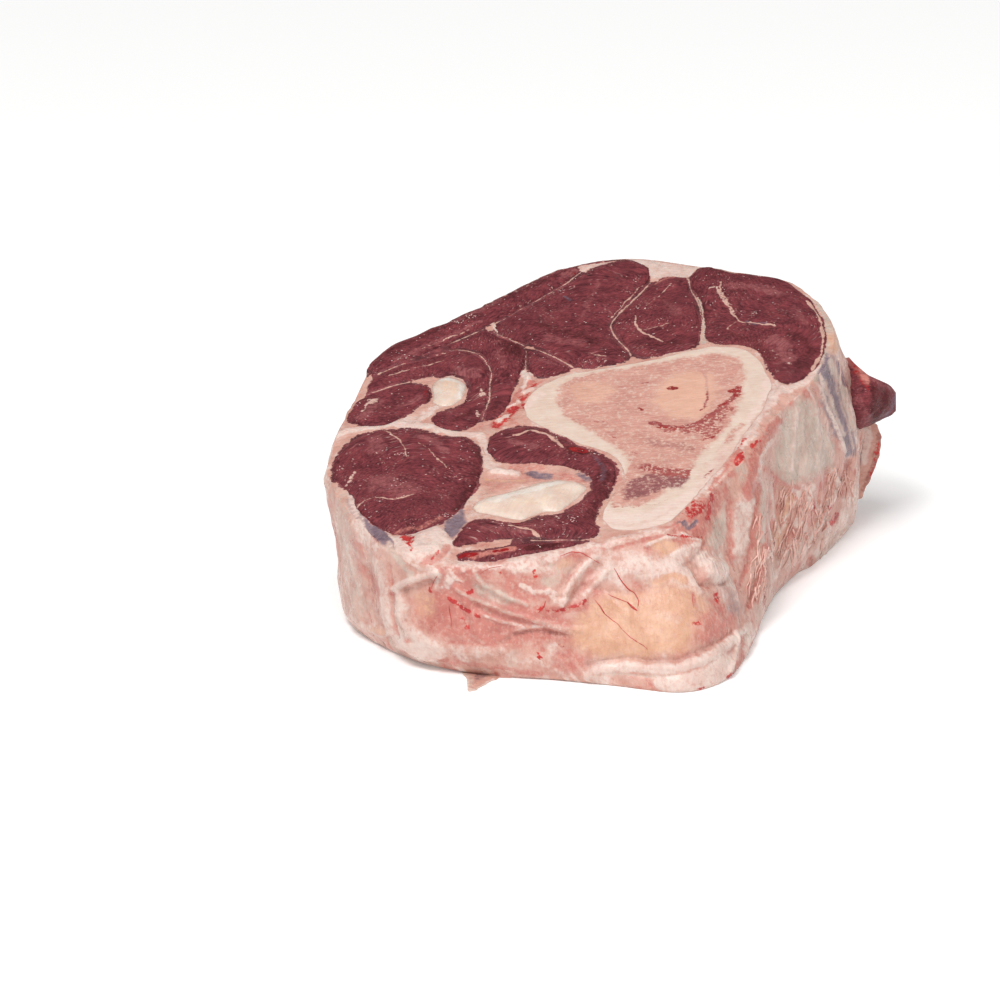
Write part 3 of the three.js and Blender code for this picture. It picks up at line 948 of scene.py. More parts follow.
@dataclass(frozen=True)
class Section:
    """How a piece that runs through the slice looks on its cut faces.

    Attributes:
        node: the CAD node that it stands for.
        slot: the record's material slot.
        finish: its material.
        crown: how far its middle stands up over its edge, in mm.
        shoulder: how far in from its edge it is level, in mm.
        edge: height of its edge over the cut plane, in mm.
        uneven: how uneven its surface is, in mm.
        grain_angle: direction of its fibres on the cut face, in degrees.
        swirl: how much that direction wanders, in degrees.
        marks: what it shows, in the plan, measured from the shin's axis.
        seen: more of what it shows, in the front view.
    """

    node: str
    slot: str
    finish: Finish
    crown: float
    shoulder: float
    edge: float
    uneven: float
    grain_angle: float
    swirl: float
    marks: tuple[Mark, ...] = ()
    seen: tuple[Mark, ...] = ()

    def marks_on(self, plane: "CutPlane") -> tuple[Mark, ...]:
        """All its marks, in the plan."""
        return self.marks + tuple(FrontView.on_cut(plane, mark) for mark in self.seen)


# The pale marks on the muscles are partly the meat's lighter tone and partly painted sheen.
SECTIONS = (
    Section("bone", "bone", BONE_FINISH, 0.0, 1.0, -0.1, 0.12, 4, 3, (
        area(T.CORTEX, 1.0, 1.0, 0.4, 0.0, (-40, -90), (-40, 50), (70, 50), (70, -90)),
    ), (
        area(T.PINK, 2.0, 1.0, 1.2, 0.0, (556, 402), (560, 386), (572, 378), (600, 372), (640, 366),
             (680, 359), (712, 353), (738, 358), (745, 372), (743, 390), (737, 408), (726, 428),
             (714, 441), (700, 454), (692, 468), (672, 482), (660, 496), (640, 506), (614, 508),
             (610, 496), (620, 480), (630, 464), (624, 452), (606, 440), (585, 428), (565, 415)),
        area(T.MARROW, 3.6, 1.0, 2.0, 0.0, (655, 392), (668, 378), (690, 371), (709, 376), (718, 388),
             (712, 406), (696, 419), (672, 416), (656, 405)),
        area(T.MARROW, 2.5, 0.6, 1.5, 0.0, (570, 384), (600, 380), (618, 390), (600, 404), (574, 402)),
        area(T.GREY, 1.6, 0.85, 1.2, 0.0, (622, 490), (630, 480), (646, 474), (668, 472), (690, 474),
             (684, 486), (660, 490), (644, 496), (626, 500)),
        area(T.DARK, 1.4, 0.75, 1.2, 0.0, (636, 468), (648, 462), (664, 468), (680, 468), (694, 468),
             (690, 477), (668, 476), (650, 473)),
        line(T.GREY, 3.0, 0.35, 1.5, 0.0, (650, 440), (672, 444), (690, 448)),
        line(T.DARK, 1.6, 0.95, 1.1, 0.0, (652, 423), (664, 427), (680, 427), (694, 424), (706, 419),
             (716, 412), (728, 403), (736, 394), (740, 388)),
        line(T.DARK, 2.8, 0.5, 1.8, 0.0, (662, 430), (690, 430), (712, 420), (728, 408)),
        line(T.BLOOD, 1.0, 0.9, 0.8, 0.0, (658, 427), (670, 428), (682, 428)),
        line(T.BLOOD, 1.4, 0.9, 0.9, 0.0, (730, 392), (738, 388), (737, 395)),
        line(T.BLOOD, 0.8, 0.9, 0.7, 0.0, (720, 406), (727, 402)),
        area(T.DARK, 2.0, 0.5, 1.5, 0.0, (692, 430), (708, 424), (724, 412), (722, 428), (712, 440),
             (700, 438)),
        line(T.BLOOD, 0.7, 0.6, 0.6, 0.0, (702, 440), (712, 438), (720, 430)),
        # a small hole: blood, with a dark core that is partly painted shade
        line(T.BLOOD, 2.0, 1.0, 0.3, -0.6, (672, 388.5)),
        line(T.BLOOD, 1.1, 1.0, 0.2, -0.4, (669, 388.5), (676, 388.5)),
        line(T.BLOOD, 0.6, 0.9, 0.4, 0.0, (700, 410), (706, 406)),
        line(T.PINK, 0.7, 0.9, 0.4, 0.0, (702, 370), (706, 380), (708, 396), (705, 406)),
        line(T.DARK, 0.6, 0.7, 0.5, 0.0, (707, 392), (707, 400), (703, 408)),
        line(T.BLOOD, 0.6, 0.8, 0.6, 0.0, (637, 407), (643, 410)),
        line(T.BLOOD, 0.5, 0.6, 0.5, 0.0, (643, 383), (648, 382)),
        line(T.BLOOD, 0.7, 0.5, 0.8, 0.0, (596, 421), (606, 422)),
        line(T.BLOOD, 0.5, 0.5, 0.6, 0.0, (612, 436), (618, 438)),
        line(T.BLOOD, 0.5, 0.5, 0.6, 0.0, (630, 452), (640, 454)),
        line(T.DARK, 0.8, 0.3, 1.0, 0.0, (614, 508), (636, 507), (652, 505), (668, 500)),
        line(T.DARK, 1.0, 0.3, 1.2, 0.0, (570, 378), (584, 376)),
        line(T.PINK, 1.6, 0.6, 1.2, 0.0, (726, 442), (734, 432), (740, 424)),
        area(T.WHITE, 1.5, 0.95, 0.8, 0.0, (598, 512), (604, 502), (612, 512), (640, 513), (668, 504),
             (688, 492), (692, 502), (672, 520), (640, 530), (606, 530)),
        line(T.WHITE, 3.0, 0.6, 1.0, 0.0, (526, 406), (540, 394)),
        line(T.WHITE, 3.2, 0.95, 2.2, 0.0, (770, 372), (768, 392), (760, 410), (746, 430), (730, 450),
             (714, 470), (702, 486), (690, 500)),
        area(T.PINK, 3.0, 0.6, 3.0, 0.0, (758, 426), (742, 448), (722, 472), (704, 488), (694, 498),
             (700, 480), (718, 454), (740, 430)),
        line(T.PINK, 1.6, 0.6, 2.0, 0.0, (768, 396), (760, 414), (750, 430)),
        line(T.PINK, 1.4, 0.45, 2.0, 0.0, (612, 524), (632, 524), (652, 519), (672, 510)),
        line(T.BLOOD, 0.8, 0.7, 1.4, 0.0, (712, 470), (704, 478)),
        line(T.WHITE, 1.2, 0.5, 0.8, 0.0, (614, 452), (622, 462), (622, 474)),
    )),
    Section("muscle_left_lobe", "muscle", LEAN_FINISH, 1.4, 7.0, -0.25, 0.7, 20, 40, (
        line(T.SEAM, 0.16, 1.0, 0.4, 0.0, (-72, -7), (-70, -11), (-67.7, -14.6), (-66, -19), (-65, -26)),
        line(T.SEAM, 0.1, 1.0, 0.4, 0.0, (-61.3, -18), (-58, -22), (-56.3, -26), (-52, -35)),
        line(T.PALE, 4.0, 0.75, 2.0, 0.0, (-75, -14), (-74, -22)),
        line(T.PALE, 7.0, 0.7, 2.5, 0.0, (-72, -42), (-66, -46)),
        line(T.WHITE, 0.7, 0.9, 0.4, 0.0, (-83.4, -40), (-82, -37), (-81, -34)),
        line(T.SEAM, 0.2, 1.0, 0.4, 0.0, (-80, -53), (-75, -51), (-67.7, -52), (-63, -50)),
        line(T.DARK, 2.5, 0.5, 1.0, 0.0, (-49, -58), (-44, -45), (-42, -33), (-43, -20)),
        line(T.DARK, 1.2, 0.5, 0.4, 0.0, (-72, -6.5), (-66, -6), (-60, -8)),
        line(T.PALE, 2.0, 0.7, 1.0, 0.0, (-62, -13), (-57, -16), (-52, -24)),
        line(T.PINK, 1.2, 0.5, 0.8, 0.0, (-67, -70), (-60, -68.5), (-54, -63.5)),
    )),
    Section("muscle_hook", "muscle", LEAN_FINISH, 0.8, 3.0, -0.25, 0.7, 75, 45, (
        line(T.SEAM, 0.45, 1.0, 0.7, 0.0, (-31, -15), (-26, -13), (-22.5, -14.5), (-19, -19), (-16, -25)),
        line(T.WHITE, 1.0, 0.75, 1.2, 0.0, (-20, -17), (-17.5, -21)),
        area(T.DARK, 1.2, 0.9, 0.4, 0.0, (-15.5, -24), (-8, -22), (-4.5, -26.5), (-8, -30.5), (-14, -29)),
        area(T.BLOOD, 0.8, 0.8, 0.4, 0.0, (-14.5, -25), (-9, -23), (-5.5, -26.5), (-9, -29.5),
             (-13, -28)),
        line(T.DARK, 2.0, 0.5, 1.0, 0.0, (-4, -36), (-2, -45), (-6, -58), (-9, -70)),
        line(T.LILAC, 1.4, 0.4, 0.4, 0.0, (-6, -32), (-3, -40), (-4, -47)),
        line(T.PALE, 3.0, 0.6, 1.5, 0.0, (-40, -71), (-30, -73), (-20, -71)),
        line(T.BLOOD, 1.5, 0.4, 0.8, 0.0, (-36, -66.5), (-30, -69)),
        line(T.SEAM, 0.3, 1.0, 0.4, 0.0, (-33, -70), (-26, -74), (-24, -77)),
        line(T.PALE, 2.5, 0.7, 1.5, 0.0, (-32, -20), (-26, -24)),
    )),
    Section("muscle_front_strip", "muscle", LEAN_FINISH, 0.3, 1.0, -0.4, 0.5, 90, 40, (
        line(T.PINK, 2.4, 1.0, 0.8, 0.0, (-44, -86.5), (-38, -85.5), (-32, -84)),
        line(T.BLOOD, 1.8, 1.0, 0.8, 0.0, (-47.5, -85.6), (-43.5, -86)),
        line(T.BLOOD, 1.2, 0.9, 0.8, 0.0, (-37, -85), (-34, -84.6)),
        line(T.DARK, 2.0, 0.8, 0.6, 0.0, (-27, -84), (-18, -82.5)),
    )),
    Section("muscle_outer_band", "muscle", LEAN_FINISH, 1.0, 4.0, -0.15, 0.7, 48, 20, (
        line(T.DARK, 1.8, 0.5, 1.5, 0.0, (-72, 46), (-58, 56), (-44, 67), (-30, 80), (-16, 92)),
        line(T.PALE, 1.5, 0.7, 1.5, 0.0, (-70, 40), (-56, 50), (-42, 62)),
        line(T.SEAM, 0.0, 1.0, 0.4, 0.0, (-62, 45), (-55, 50), (-46, 57)),
        line(T.PALE, 2.4, 0.9, 1.5, 0.0, (-14, 92), (-6, 97), (2, 101)),
        line(T.BLOOD, 1.2, 0.5, 1.5, 0.0, (-10, 94), (-4, 98)),
        line(T.PALE, 2.0, 0.6, 2.0, 0.0, (-50, 64), (-36, 76)),
    )),
    Section("muscle_tendon_wrap", "muscle", LEAN_FINISH, 0.6, 3.0, -0.15, 0.6, 30, 60, (
        line(T.PALE, 3.0, 0.7, 1.5, 0.0, (-50, 30), (-44, 29)),
        line(T.DARK, 2.0, 0.5, 0.4, 0.0, (-50, -4), (-45, 2)),
        line(T.PALE, 2.2, 0.9, 1.2, 0.0, (-48, 27.5), (-43, 25)),
        line(T.WHITE, 1.0, 0.8, 1.4, 0.0, (-44, 3), (-42.5, -1)),
        line(T.WHITE, 0.7, 0.8, 1.0, 0.0, (-41.5, 16), (-41, 12)),
        line(T.SEAM, 0.1, 1.0, 0.4, 0.0, (-72, 29), (-62, 33), (-54, 37)),
    )),
    Section("muscle_middle_wedge", "muscle", LEAN_FINISH, 0.6, 2.5, -0.15, 0.6, 80, 40, (
        area(T.DARK, 2.0, 0.6, 1.5, 0.0, (-36, 52), (-28, 45), (-28, 34), (-35, 38)),
        line(T.DARK, 1.5, 0.5, 0.4, 0.0, (-36, 10), (-38, 0)),
        line(T.PALE, 2.0, 0.5, 1.5, 0.0, (-37, 40), (-34, 30)),
    )),
    Section("muscle_bone_wedge", "muscle", LEAN_FINISH, 0.4, 2.0, -0.2, 0.6, 70, 40, (
        line(T.PALE, 1.2, 0.6, 1.2, 0.0, (-22, 34), (-18, 30)),
    )),
    Section("muscle_left_small", "muscle", LEAN_FINISH, 0.6, 3.0, -0.15, 0.6, 35, 40, (
        line(T.WHITE, 0.9, 0.7, 1.8, 0.0, (-80, 6), (-77, 11), (-76, 14)),
        line(T.PALE, 2.2, 0.7, 1.5, 0.0, (-80, 2), (-74, 12)),
        line(T.BLOOD, 1.5, 0.4, 1.0, 0.0, (-60, 14), (-60, 19)),
        line(T.PALE, 2.0, 0.6, 1.5, 0.0, (-68, 6), (-62, 14)),
    )),
    Section("muscle_back_large", "muscle", LEAN_FINISH, 1.0, 5.0, -0.15, 0.8, 40, 45, (
        line(T.PALE, 1.2, 0.5, 1.5, 0.0, (-8, 60), (-6, 72), (-2, 84)),
        line(T.DARK, 3.5, 0.5, 2.0, 0.0, (-22, 56), (-12, 50), (-4, 42)),
        line(T.LILAC, 1.2, 0.7, 0.8, 0.0, (-14, 76), (-12, 73)),
        line(T.SEAM, 0.1, 1.0, 0.4, 0.0, (-8, 36), (-5, 35), (-1, 33)),
        line(T.DARK, 0.5, 0.8, 0.3, 0.0, (-14, 52), (-8, 55), (-3, 53)),
        line(T.PALE, 3.0, 0.5, 2.0, 0.0, (-20, 48), (-10, 42)),
    ), (
        line(T.SEAM, 0.12, 1.0, 0.3, 0.0, (652, 278), (640, 288), (626, 302), (612, 318)),
    )),
    Section("muscle_back_middle", "muscle", LEAN_FINISH, 0.7, 3.5, -0.15, 0.7, 60, 40, (
        line(T.SEAM, 0.3, 1.0, 0.5, 0.0, (9.2, 60), (9.2, 54), (11, 48), (14.6, 44.6), (17.4, 40.3)),
        line(T.SEAM, 0.1, 1.0, 0.4, 0.0, (12, 50), (16, 51), (20, 53)),
        line(T.SEAM, 0.0, 1.0, 0.4, 0.0, (21.7, 81.7), (18, 74), (13, 66)),
        line(T.DARK, 2.0, 0.5, 1.0, 0.0, (14, 40), (24, 39)),
        line(T.PINK, 2.0, 0.6, 1.0, 0.0, (16, 84), (22, 86)),
        line(T.PALE, 2.5, 0.5, 1.5, 0.0, (20, 70), (23, 60)),
    )),
    Section("muscle_back_right", "muscle", LEAN_FINISH, 1.1, 6.0, -0.2, 0.8, 120, 45, (
        line(T.SEAM, 0.3, 1.0, 1.0, 0.0, (38, 79), (37, 74), (37.4, 70), (40.3, 61.7), (41.7, 56),
             (43, 51.7), (49, 49.6), (54, 46)),
        line(T.SEAM, 0.25, 1.0, 0.8, 0.0, (43, 52), (40.3, 49), (39, 45.3)),
        line(T.WHITE, 1.0, 0.7, 1.4, 0.0, (38, 68), (40, 62), (42, 55)),
        line(T.LILAC, 1.0, 0.7, 1.0, 0.0, (46, 50.5), (52, 47.5)),
        line(T.WHITE, 1.3, 0.8, 1.8, 0.0, (36, 76), (38, 72), (39, 68)),
        line(T.PALE, 2.8, 0.7, 2.5, 0.0, (42, 76), (52, 74), (58, 68)),
        line(T.WHITE, 2.0, 0.62, 2.8, 0.0, (54, 30), (57, 25), (58, 21)),
        line(T.PALE, 4.5, 0.8, 2.6, 0.0, (55, 36), (58, 24)),
        line(T.DARK, 3.0, 0.5, 2.0, 0.0, (60, 40), (66, 30), (62, 18)),
        line(T.DARK, 2.5, 0.4, 1.0, 0.0, (40, 42), (48, 38), (52, 24)),
        line(T.PALE, 2.0, 0.5, 1.5, 0.0, (62, 58), (64, 48)),
        line(T.SEAM, 0.4, 1.0, 0.2, 0.0, (66.5, 64), (69.2, 57), (70.2, 48), (70.2, 38), (68.4, 26),
             (65, 17)),
    )),
    Section("tendon_round", "tendon", TENDON_FINISH, 1.4, 4.0, -0.2, 0.3, 80, 60, (
        line(T.PEACH, 3.5, 0.5, 1.2, 0.0, (-51, 14), (-52, 20)),
        line(T.WHITE, 2.6, 0.9, 0.4, 0.0, (-49, 22), (-54, 24)),
        line(T.WHITE, 1.6, 0.8, 0.4, 0.0, (-48, 12), (-48, 20)),
    )),
    Section("tendon_fan", "tendon", TENDON_FINISH, 2.0, 7.0, -0.3, 0.4, 70, 6, (
        line(T.WHITE, 3.0, 0.8, 1.0, 0.0, (-38, -56), (-28, -52), (-18, -48)),
        line(T.GREY, 1.2, 0.5, 0.4, 0.0, (-38, -53), (-28, -48.5), (-16, -46)),
        line(T.PEACH, 3.0, 0.35, 1.5, 0.0, (-30, -60), (-22, -58)),
    )),
)


class Slice:
    """The shapes that every piece of the slice shares."""

    def __init__(self) -> None:
        self.plane = CutPlane.of_node("bone")
        self.outlines: dict[str, Points] = {}
        for section in SECTIONS:
            loop = smooth_loop(cad_outline(section.node), EDGE_SPACING * COARSE)
            loop += 0.3 * sway(loop, 2.2, 0) + 0.55 * sway(loop, 7.0, 9)
            self.outlines[section.node] = loop
        self.wall = Wall(self)

    def away(self, places: Points) -> tuple[Points, Points]:
        """Places measured from the shin's axis, and how far the slice spreads below them."""
        away = places - SHIN_AXIS
        return away, self.wall.spread(np.arctan2(away[:, 1], away[:, 0]))[:, None]

    def foot_of(self, places: Points) -> Points:
        """Where a place of the upper cut face comes out on the lower one."""
        away, ratio = self.away(places)
        return SHIN_AXIS + away * ratio

    def head_of(self, places: Points) -> Points:
        """Where a place of the lower cut face comes out on the upper one."""
        away, ratio = self.away(places)
        return SHIN_AXIS + away / ratio

    def lifted(self, places: Points, rise: Points | float) -> Points:
        """Places of the plan as points at a height over the cut plane."""
        return np.column_stack([places, self.plane.at(places) + rise])


def seam_paths(loops: Sequence[Points]) -> list[Points]:
    """Middle lines of the narrow seams between outlines."""
    paths = []
    for n, here in enumerate(loops):
        for there in loops[n + 1 :]:
            gaps = np.sqrt(((here[:, None] - there[None]) ** 2).sum(2))
            middle = (here + there[gaps.argmin(1)]) / 2
            narrow = gaps.min(1) < SEAM_WIDEST
            if narrow.all() or narrow.sum() < 4:
                continue
            turn = int(np.argmin(narrow))
            narrow, middle = np.roll(narrow, -turn), np.roll(middle, -turn, axis=0)
            ends = np.flatnonzero(np.diff(np.concatenate([[0], narrow.astype(int), [0]])))
            for first, last in zip(ends[::2], ends[1::2]):
                if last - first > 3:
                    paths.append(eased(middle[first:last], 4))
    return paths


def edge_level(section: Section, loop: Points) -> Points:
    """Height of a piece's edge over the cut plane, shared with the fat round it."""
    return section.edge + 0.6 * section.uneven * fractal(loop, 7.0, 91, 2)


def fibre_places(section: Section, places: Points) -> Points:
    """Places as millimetres along and across a piece's fibres."""
    turn = np.radians(section.grain_angle + section.swirl * noise(places, 26.0, len(section.node)))
    centre = places.mean(0)
    x, y = (places - centre).T
    return np.column_stack([x * np.cos(turn) + y * np.sin(turn), y * np.cos(turn) - x * np.sin(turn),
                            np.zeros(len(x))])


def section_piece(section: Section, form: Slice, material: bpy.types.Material) -> bpy.types.Object:
    """Makes a piece that runs through the slice from one cut face to the other."""
    loop = form.outlines[section.node]
    foot = form.foot_of(loop)
    parts = MeshParts()
    marks = section.marks_on(form.plane)
    seams = [SHIN_AXIS + seam_path(mark) for mark in marks if mark.tissue is T.SEAM]
    inner, triangles = fill(loop, (), CUT_SPACING, 3, seams)
    gap = distance_to(inner, loop, True)
    dome = section.crown * (1.0 - np.exp(-2.2 * gap / section.shoulder))
    rim = edge_level(section, loop)
    settle = np.exp(-gap / 1.2)
    rise = section.edge * settle + dome + section.uneven * fractal(inner, 9.0, 5) * (1 - settle)
    rise += 0.35 * section.uneven * fractal(inner, 2.4, 23, 2) * (1 - settle)
    top = parts.add_points(form.lifted(loop, rim), loop)
    parts.add_points(form.lifted(inner, rise), inner)
    parts.add_faces(triangles)
    under, under_triangles = fill(foot, (), UNDER_SPACING, 4)
    low = parts.add_points(np.column_stack([foot, np.full(len(foot), FOOT_EDGE)]), loop)
    flat = 0.12 + 0.1 * fractal(under, 8.0, 31, 2)
    parts.add_points(np.column_stack([under, flat]), form.head_of(under))
    parts.add_faces(under_triangles[:, ::-1] + low[0])
    parts.add_band(top, low)
    places = np.vstack(parts.places)
    canvas = Canvas(places - SHIN_AXIS, tuple(section.finish.layers), 1.0, 60)
    canvas.paint(marks)
    made = parts.build(section.node + "_looks", material, canvas, fibre_places(section, places))
    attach(made, "root")
    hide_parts(section.node)
    return made


# ---------------------------------------------------------------------------------------------
# The outer side
# ---------------------------------------------------------------------------------------------


class Wall:
    """The jacket's outer side, as its distance from the shin's axis."""

    STEP = math.radians(1.0)  # between two measured directions
    LEVELS = 41  # measured heights in each direction
    OUTSIDE = 200  # mm from the axis, clear of the slice
    FIRST_GUESS = 112.0  # mm from the axis, where the search for the side begins
    POCKET = 0.7  # mm from the tongue, within which the side is its pocket
    SPREADS = (0.93, 1.04)  # least and most that the pieces spread from the rim to the foot
    COVER, RIM_COVER, FOOT_COVER = 0.7, 1.1, 1.5  # mm of fat outside the pieces

    def __init__(self, form: Slice) -> None:
        self.form = form
        depsgraph = bpy.context.evaluated_depsgraph_get()
        trees = [BVHTree.FromObject(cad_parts[name], depsgraph)
                 for name in ("fat_jacket", "muscle_side_tongue")]
        self.bearings = np.arange(-180, 180) * self.STEP
        self.shares = np.linspace(0, 1, self.LEVELS)
        self.radii = np.array([[self.cast(*trees, b, s) for s in self.shares] for b in self.bearings])
        self.bridge()
        kernel = np.exp(-0.5 * (np.arange(-6, 7) / 2.0) ** 2)
        kernel /= kernel.sum()
        self.radii = sum(w * np.roll(self.radii, k - 6, axis=0) for k, w in enumerate(kernel))
        self.radii[:, 2:-2] = eased(self.radii.T, 3).T[:, 2:-2]
        full = self.radii[:, 1] / self.radii[:, -2]
        full = sum(w * np.roll(full, k - 6) for k, w in enumerate(kernel))
        self.ratios = np.clip(full, *self.SPREADS)
        self.reach = np.zeros(360)
        self.clear_pieces()

    def cast(self, jacket: BVHTree, tongue: BVHTree, bearing: float, share: float) -> float:
        """Distance of the CAD side in one direction at a share of the thickness.

        Gives not-a-number inside the pocket that holds the side tongue.
        """
        way = np.array([math.cos(bearing), math.sin(bearing)])
        radius = self.FIRST_GUESS
        for _ in range(30):
            place = SHIN_AXIS + way * radius
            top = self.form.plane.at(place[None])[0] - FAT_DROP
            height = min(max(share * top, 0.05), top - 0.06)
            start = Vector((*(SHIN_AXIS + way * self.OUTSIDE), height)) * MM
            hit = jacket.ray_cast(start, Vector((-way[0], -way[1], 0)))[0]
            found = self.OUTSIDE - (hit - start).length / MM if hit else 0.0
            if found > radius - 4.0:
                if abs(found - radius) < 0.05:
                    break
                radius = found
            else:
                radius -= 3.0
        beside = tongue.find_nearest(hit)[3] / MM if hit else 9.0
        return math.nan if beside < self.POCKET else radius

    def bridge(self) -> None:
        """Carries the side straight over the pocket, from the level above to the level below."""
        for column in self.radii:
            known = ~np.isnan(column)
            column[:] = np.interp(self.shares, self.shares[known], column[known])

    def clear_pieces(self) -> None:
        """Keeps the rim and the foot clear of the pieces inside."""
        for loop in self.form.outlines.values():
            away = loop - SHIN_AXIS
            bearing, reach = np.arctan2(away[:, 1], away[:, 0]), np.hypot(*away.T)
            for b, r in zip(np.degrees(bearing), reach):
                for k in (-1, 0, 1, 2):
                    i = (int(math.floor(b)) + 180 + k) % 360
                    self.reach[i] = max(self.reach[i], r)
        top, foot = self.reach[:, None], (self.reach * self.ratios)[:, None]
        self.radii[:, -3:] = np.maximum(self.radii[:, -3:], top + self.RIM_COVER)
        self.radii[:, :3] = np.maximum(self.radii[:, :3], foot + self.FOOT_COVER)

    def beside(self, bearing: Points) -> tuple[Points, Points, Points]:
        """The measured directions on either side of each bearing, and its share of the way."""
        column = (np.mod(bearing + math.pi, 2 * math.pi)) / self.STEP
        first = np.floor(column).astype(int) % 360
        return first, (first + 1) % 360, column - np.floor(column)

    def least(self, bearing: Points, share: Points) -> Points:
        """Least distance from the shin's axis that keeps the pieces inside covered."""
        i, k, u = self.beside(bearing)
        reach = self.reach[i] * (1 - u) + self.reach[k] * u
        return reach * (self.spread(bearing) * (1 - share) + share) + self.COVER

    def spread(self, bearing: Points) -> Points:
        """How far the pieces inside spread from the rim to the foot."""
        i, k, u = self.beside(bearing)
        return self.ratios[i] * (1 - u) + self.ratios[k] * u

    def radius(self, bearing: Points, share: Points | float) -> Points:
        """Distance from the shin's axis, read between the measured directions and levels."""
        i, k, u = self.beside(bearing)
        last = self.LEVELS - 1
        row = np.clip(np.broadcast_to(share, u.shape) * last, 0, last)
        j = np.minimum(row.astype(int), last - 1)
        u, v = u * u * (3 - 2 * u), row - j
        low = self.radii[i, j] * (1 - u) + self.radii[k, j] * u
        high = self.radii[i, j + 1] * (1 - u) + self.radii[k, j + 1] * u
        return low * (1 - v) + high * v

    def columns(self) -> Points:
        """Directions of the side's columns of points, closer together towards the front."""
        ring = self.bearings
        way = np.column_stack([np.cos(ring), np.sin(ring)]) * self.radius(ring, 0.5)[:, None]
        step = np.linalg.norm(np.roll(way, -1, axis=0) - way, axis=1)
        normal = np.roll(way, -1, axis=0) - np.roll(way, 1, axis=0)
        front = (normal[:, 0] / np.linalg.norm(normal, axis=1)) > -0.25
        front |= (way[:, 0] > 55) & (way[:, 1] < 75)
        spacing = np.where(front, SIDE_SPACING, BACK_SPACING) * COARSE
        run = np.concatenate([[0.0], np.cumsum(step / spacing)])
        count = int(run[-1])
        where = np.linspace(0, run[-1], count, endpoint=False)
        return np.interp(where, run, np.append(ring, math.pi))

    def grid(self) -> tuple[Points, Points, Points]:
        """Points of the side, row by row from the rim down, with their directions and shares."""
        bearing = self.columns()
        share = 0.5 + 0.5 * np.cos(np.linspace(0, math.pi, SIDE_ROWS + 1))
        share = 0.35 * share + 0.65 * np.linspace(1, 0, SIDE_ROWS + 1)
        b, s = np.meshgrid(bearing, share)
        b, s = b.ravel(), s.ravel()
        r = self.radius(b, s)
        places = SHIN_AXIS + np.column_stack([np.cos(b), np.sin(b)]) * r[:, None]
        z = s * (self.form.plane.at(places) - FAT_DROP)
        return np.column_stack([places, z]), b, s


def grid_normals(points: Points, columns: int) -> Points:
    """Outward normals of a closed grid of rows that run round a body."""
    grid = points.reshape(-1, columns, 3)
    across = np.roll(grid, -1, axis=1) - np.roll(grid, 1, axis=1)
    down = np.gradient(grid, axis=0)
    normal = np.cross(down, across).reshape(-1, 3)
    return normal / np.maximum(np.linalg.norm(normal, axis=1, keepdims=True), 1e-9)


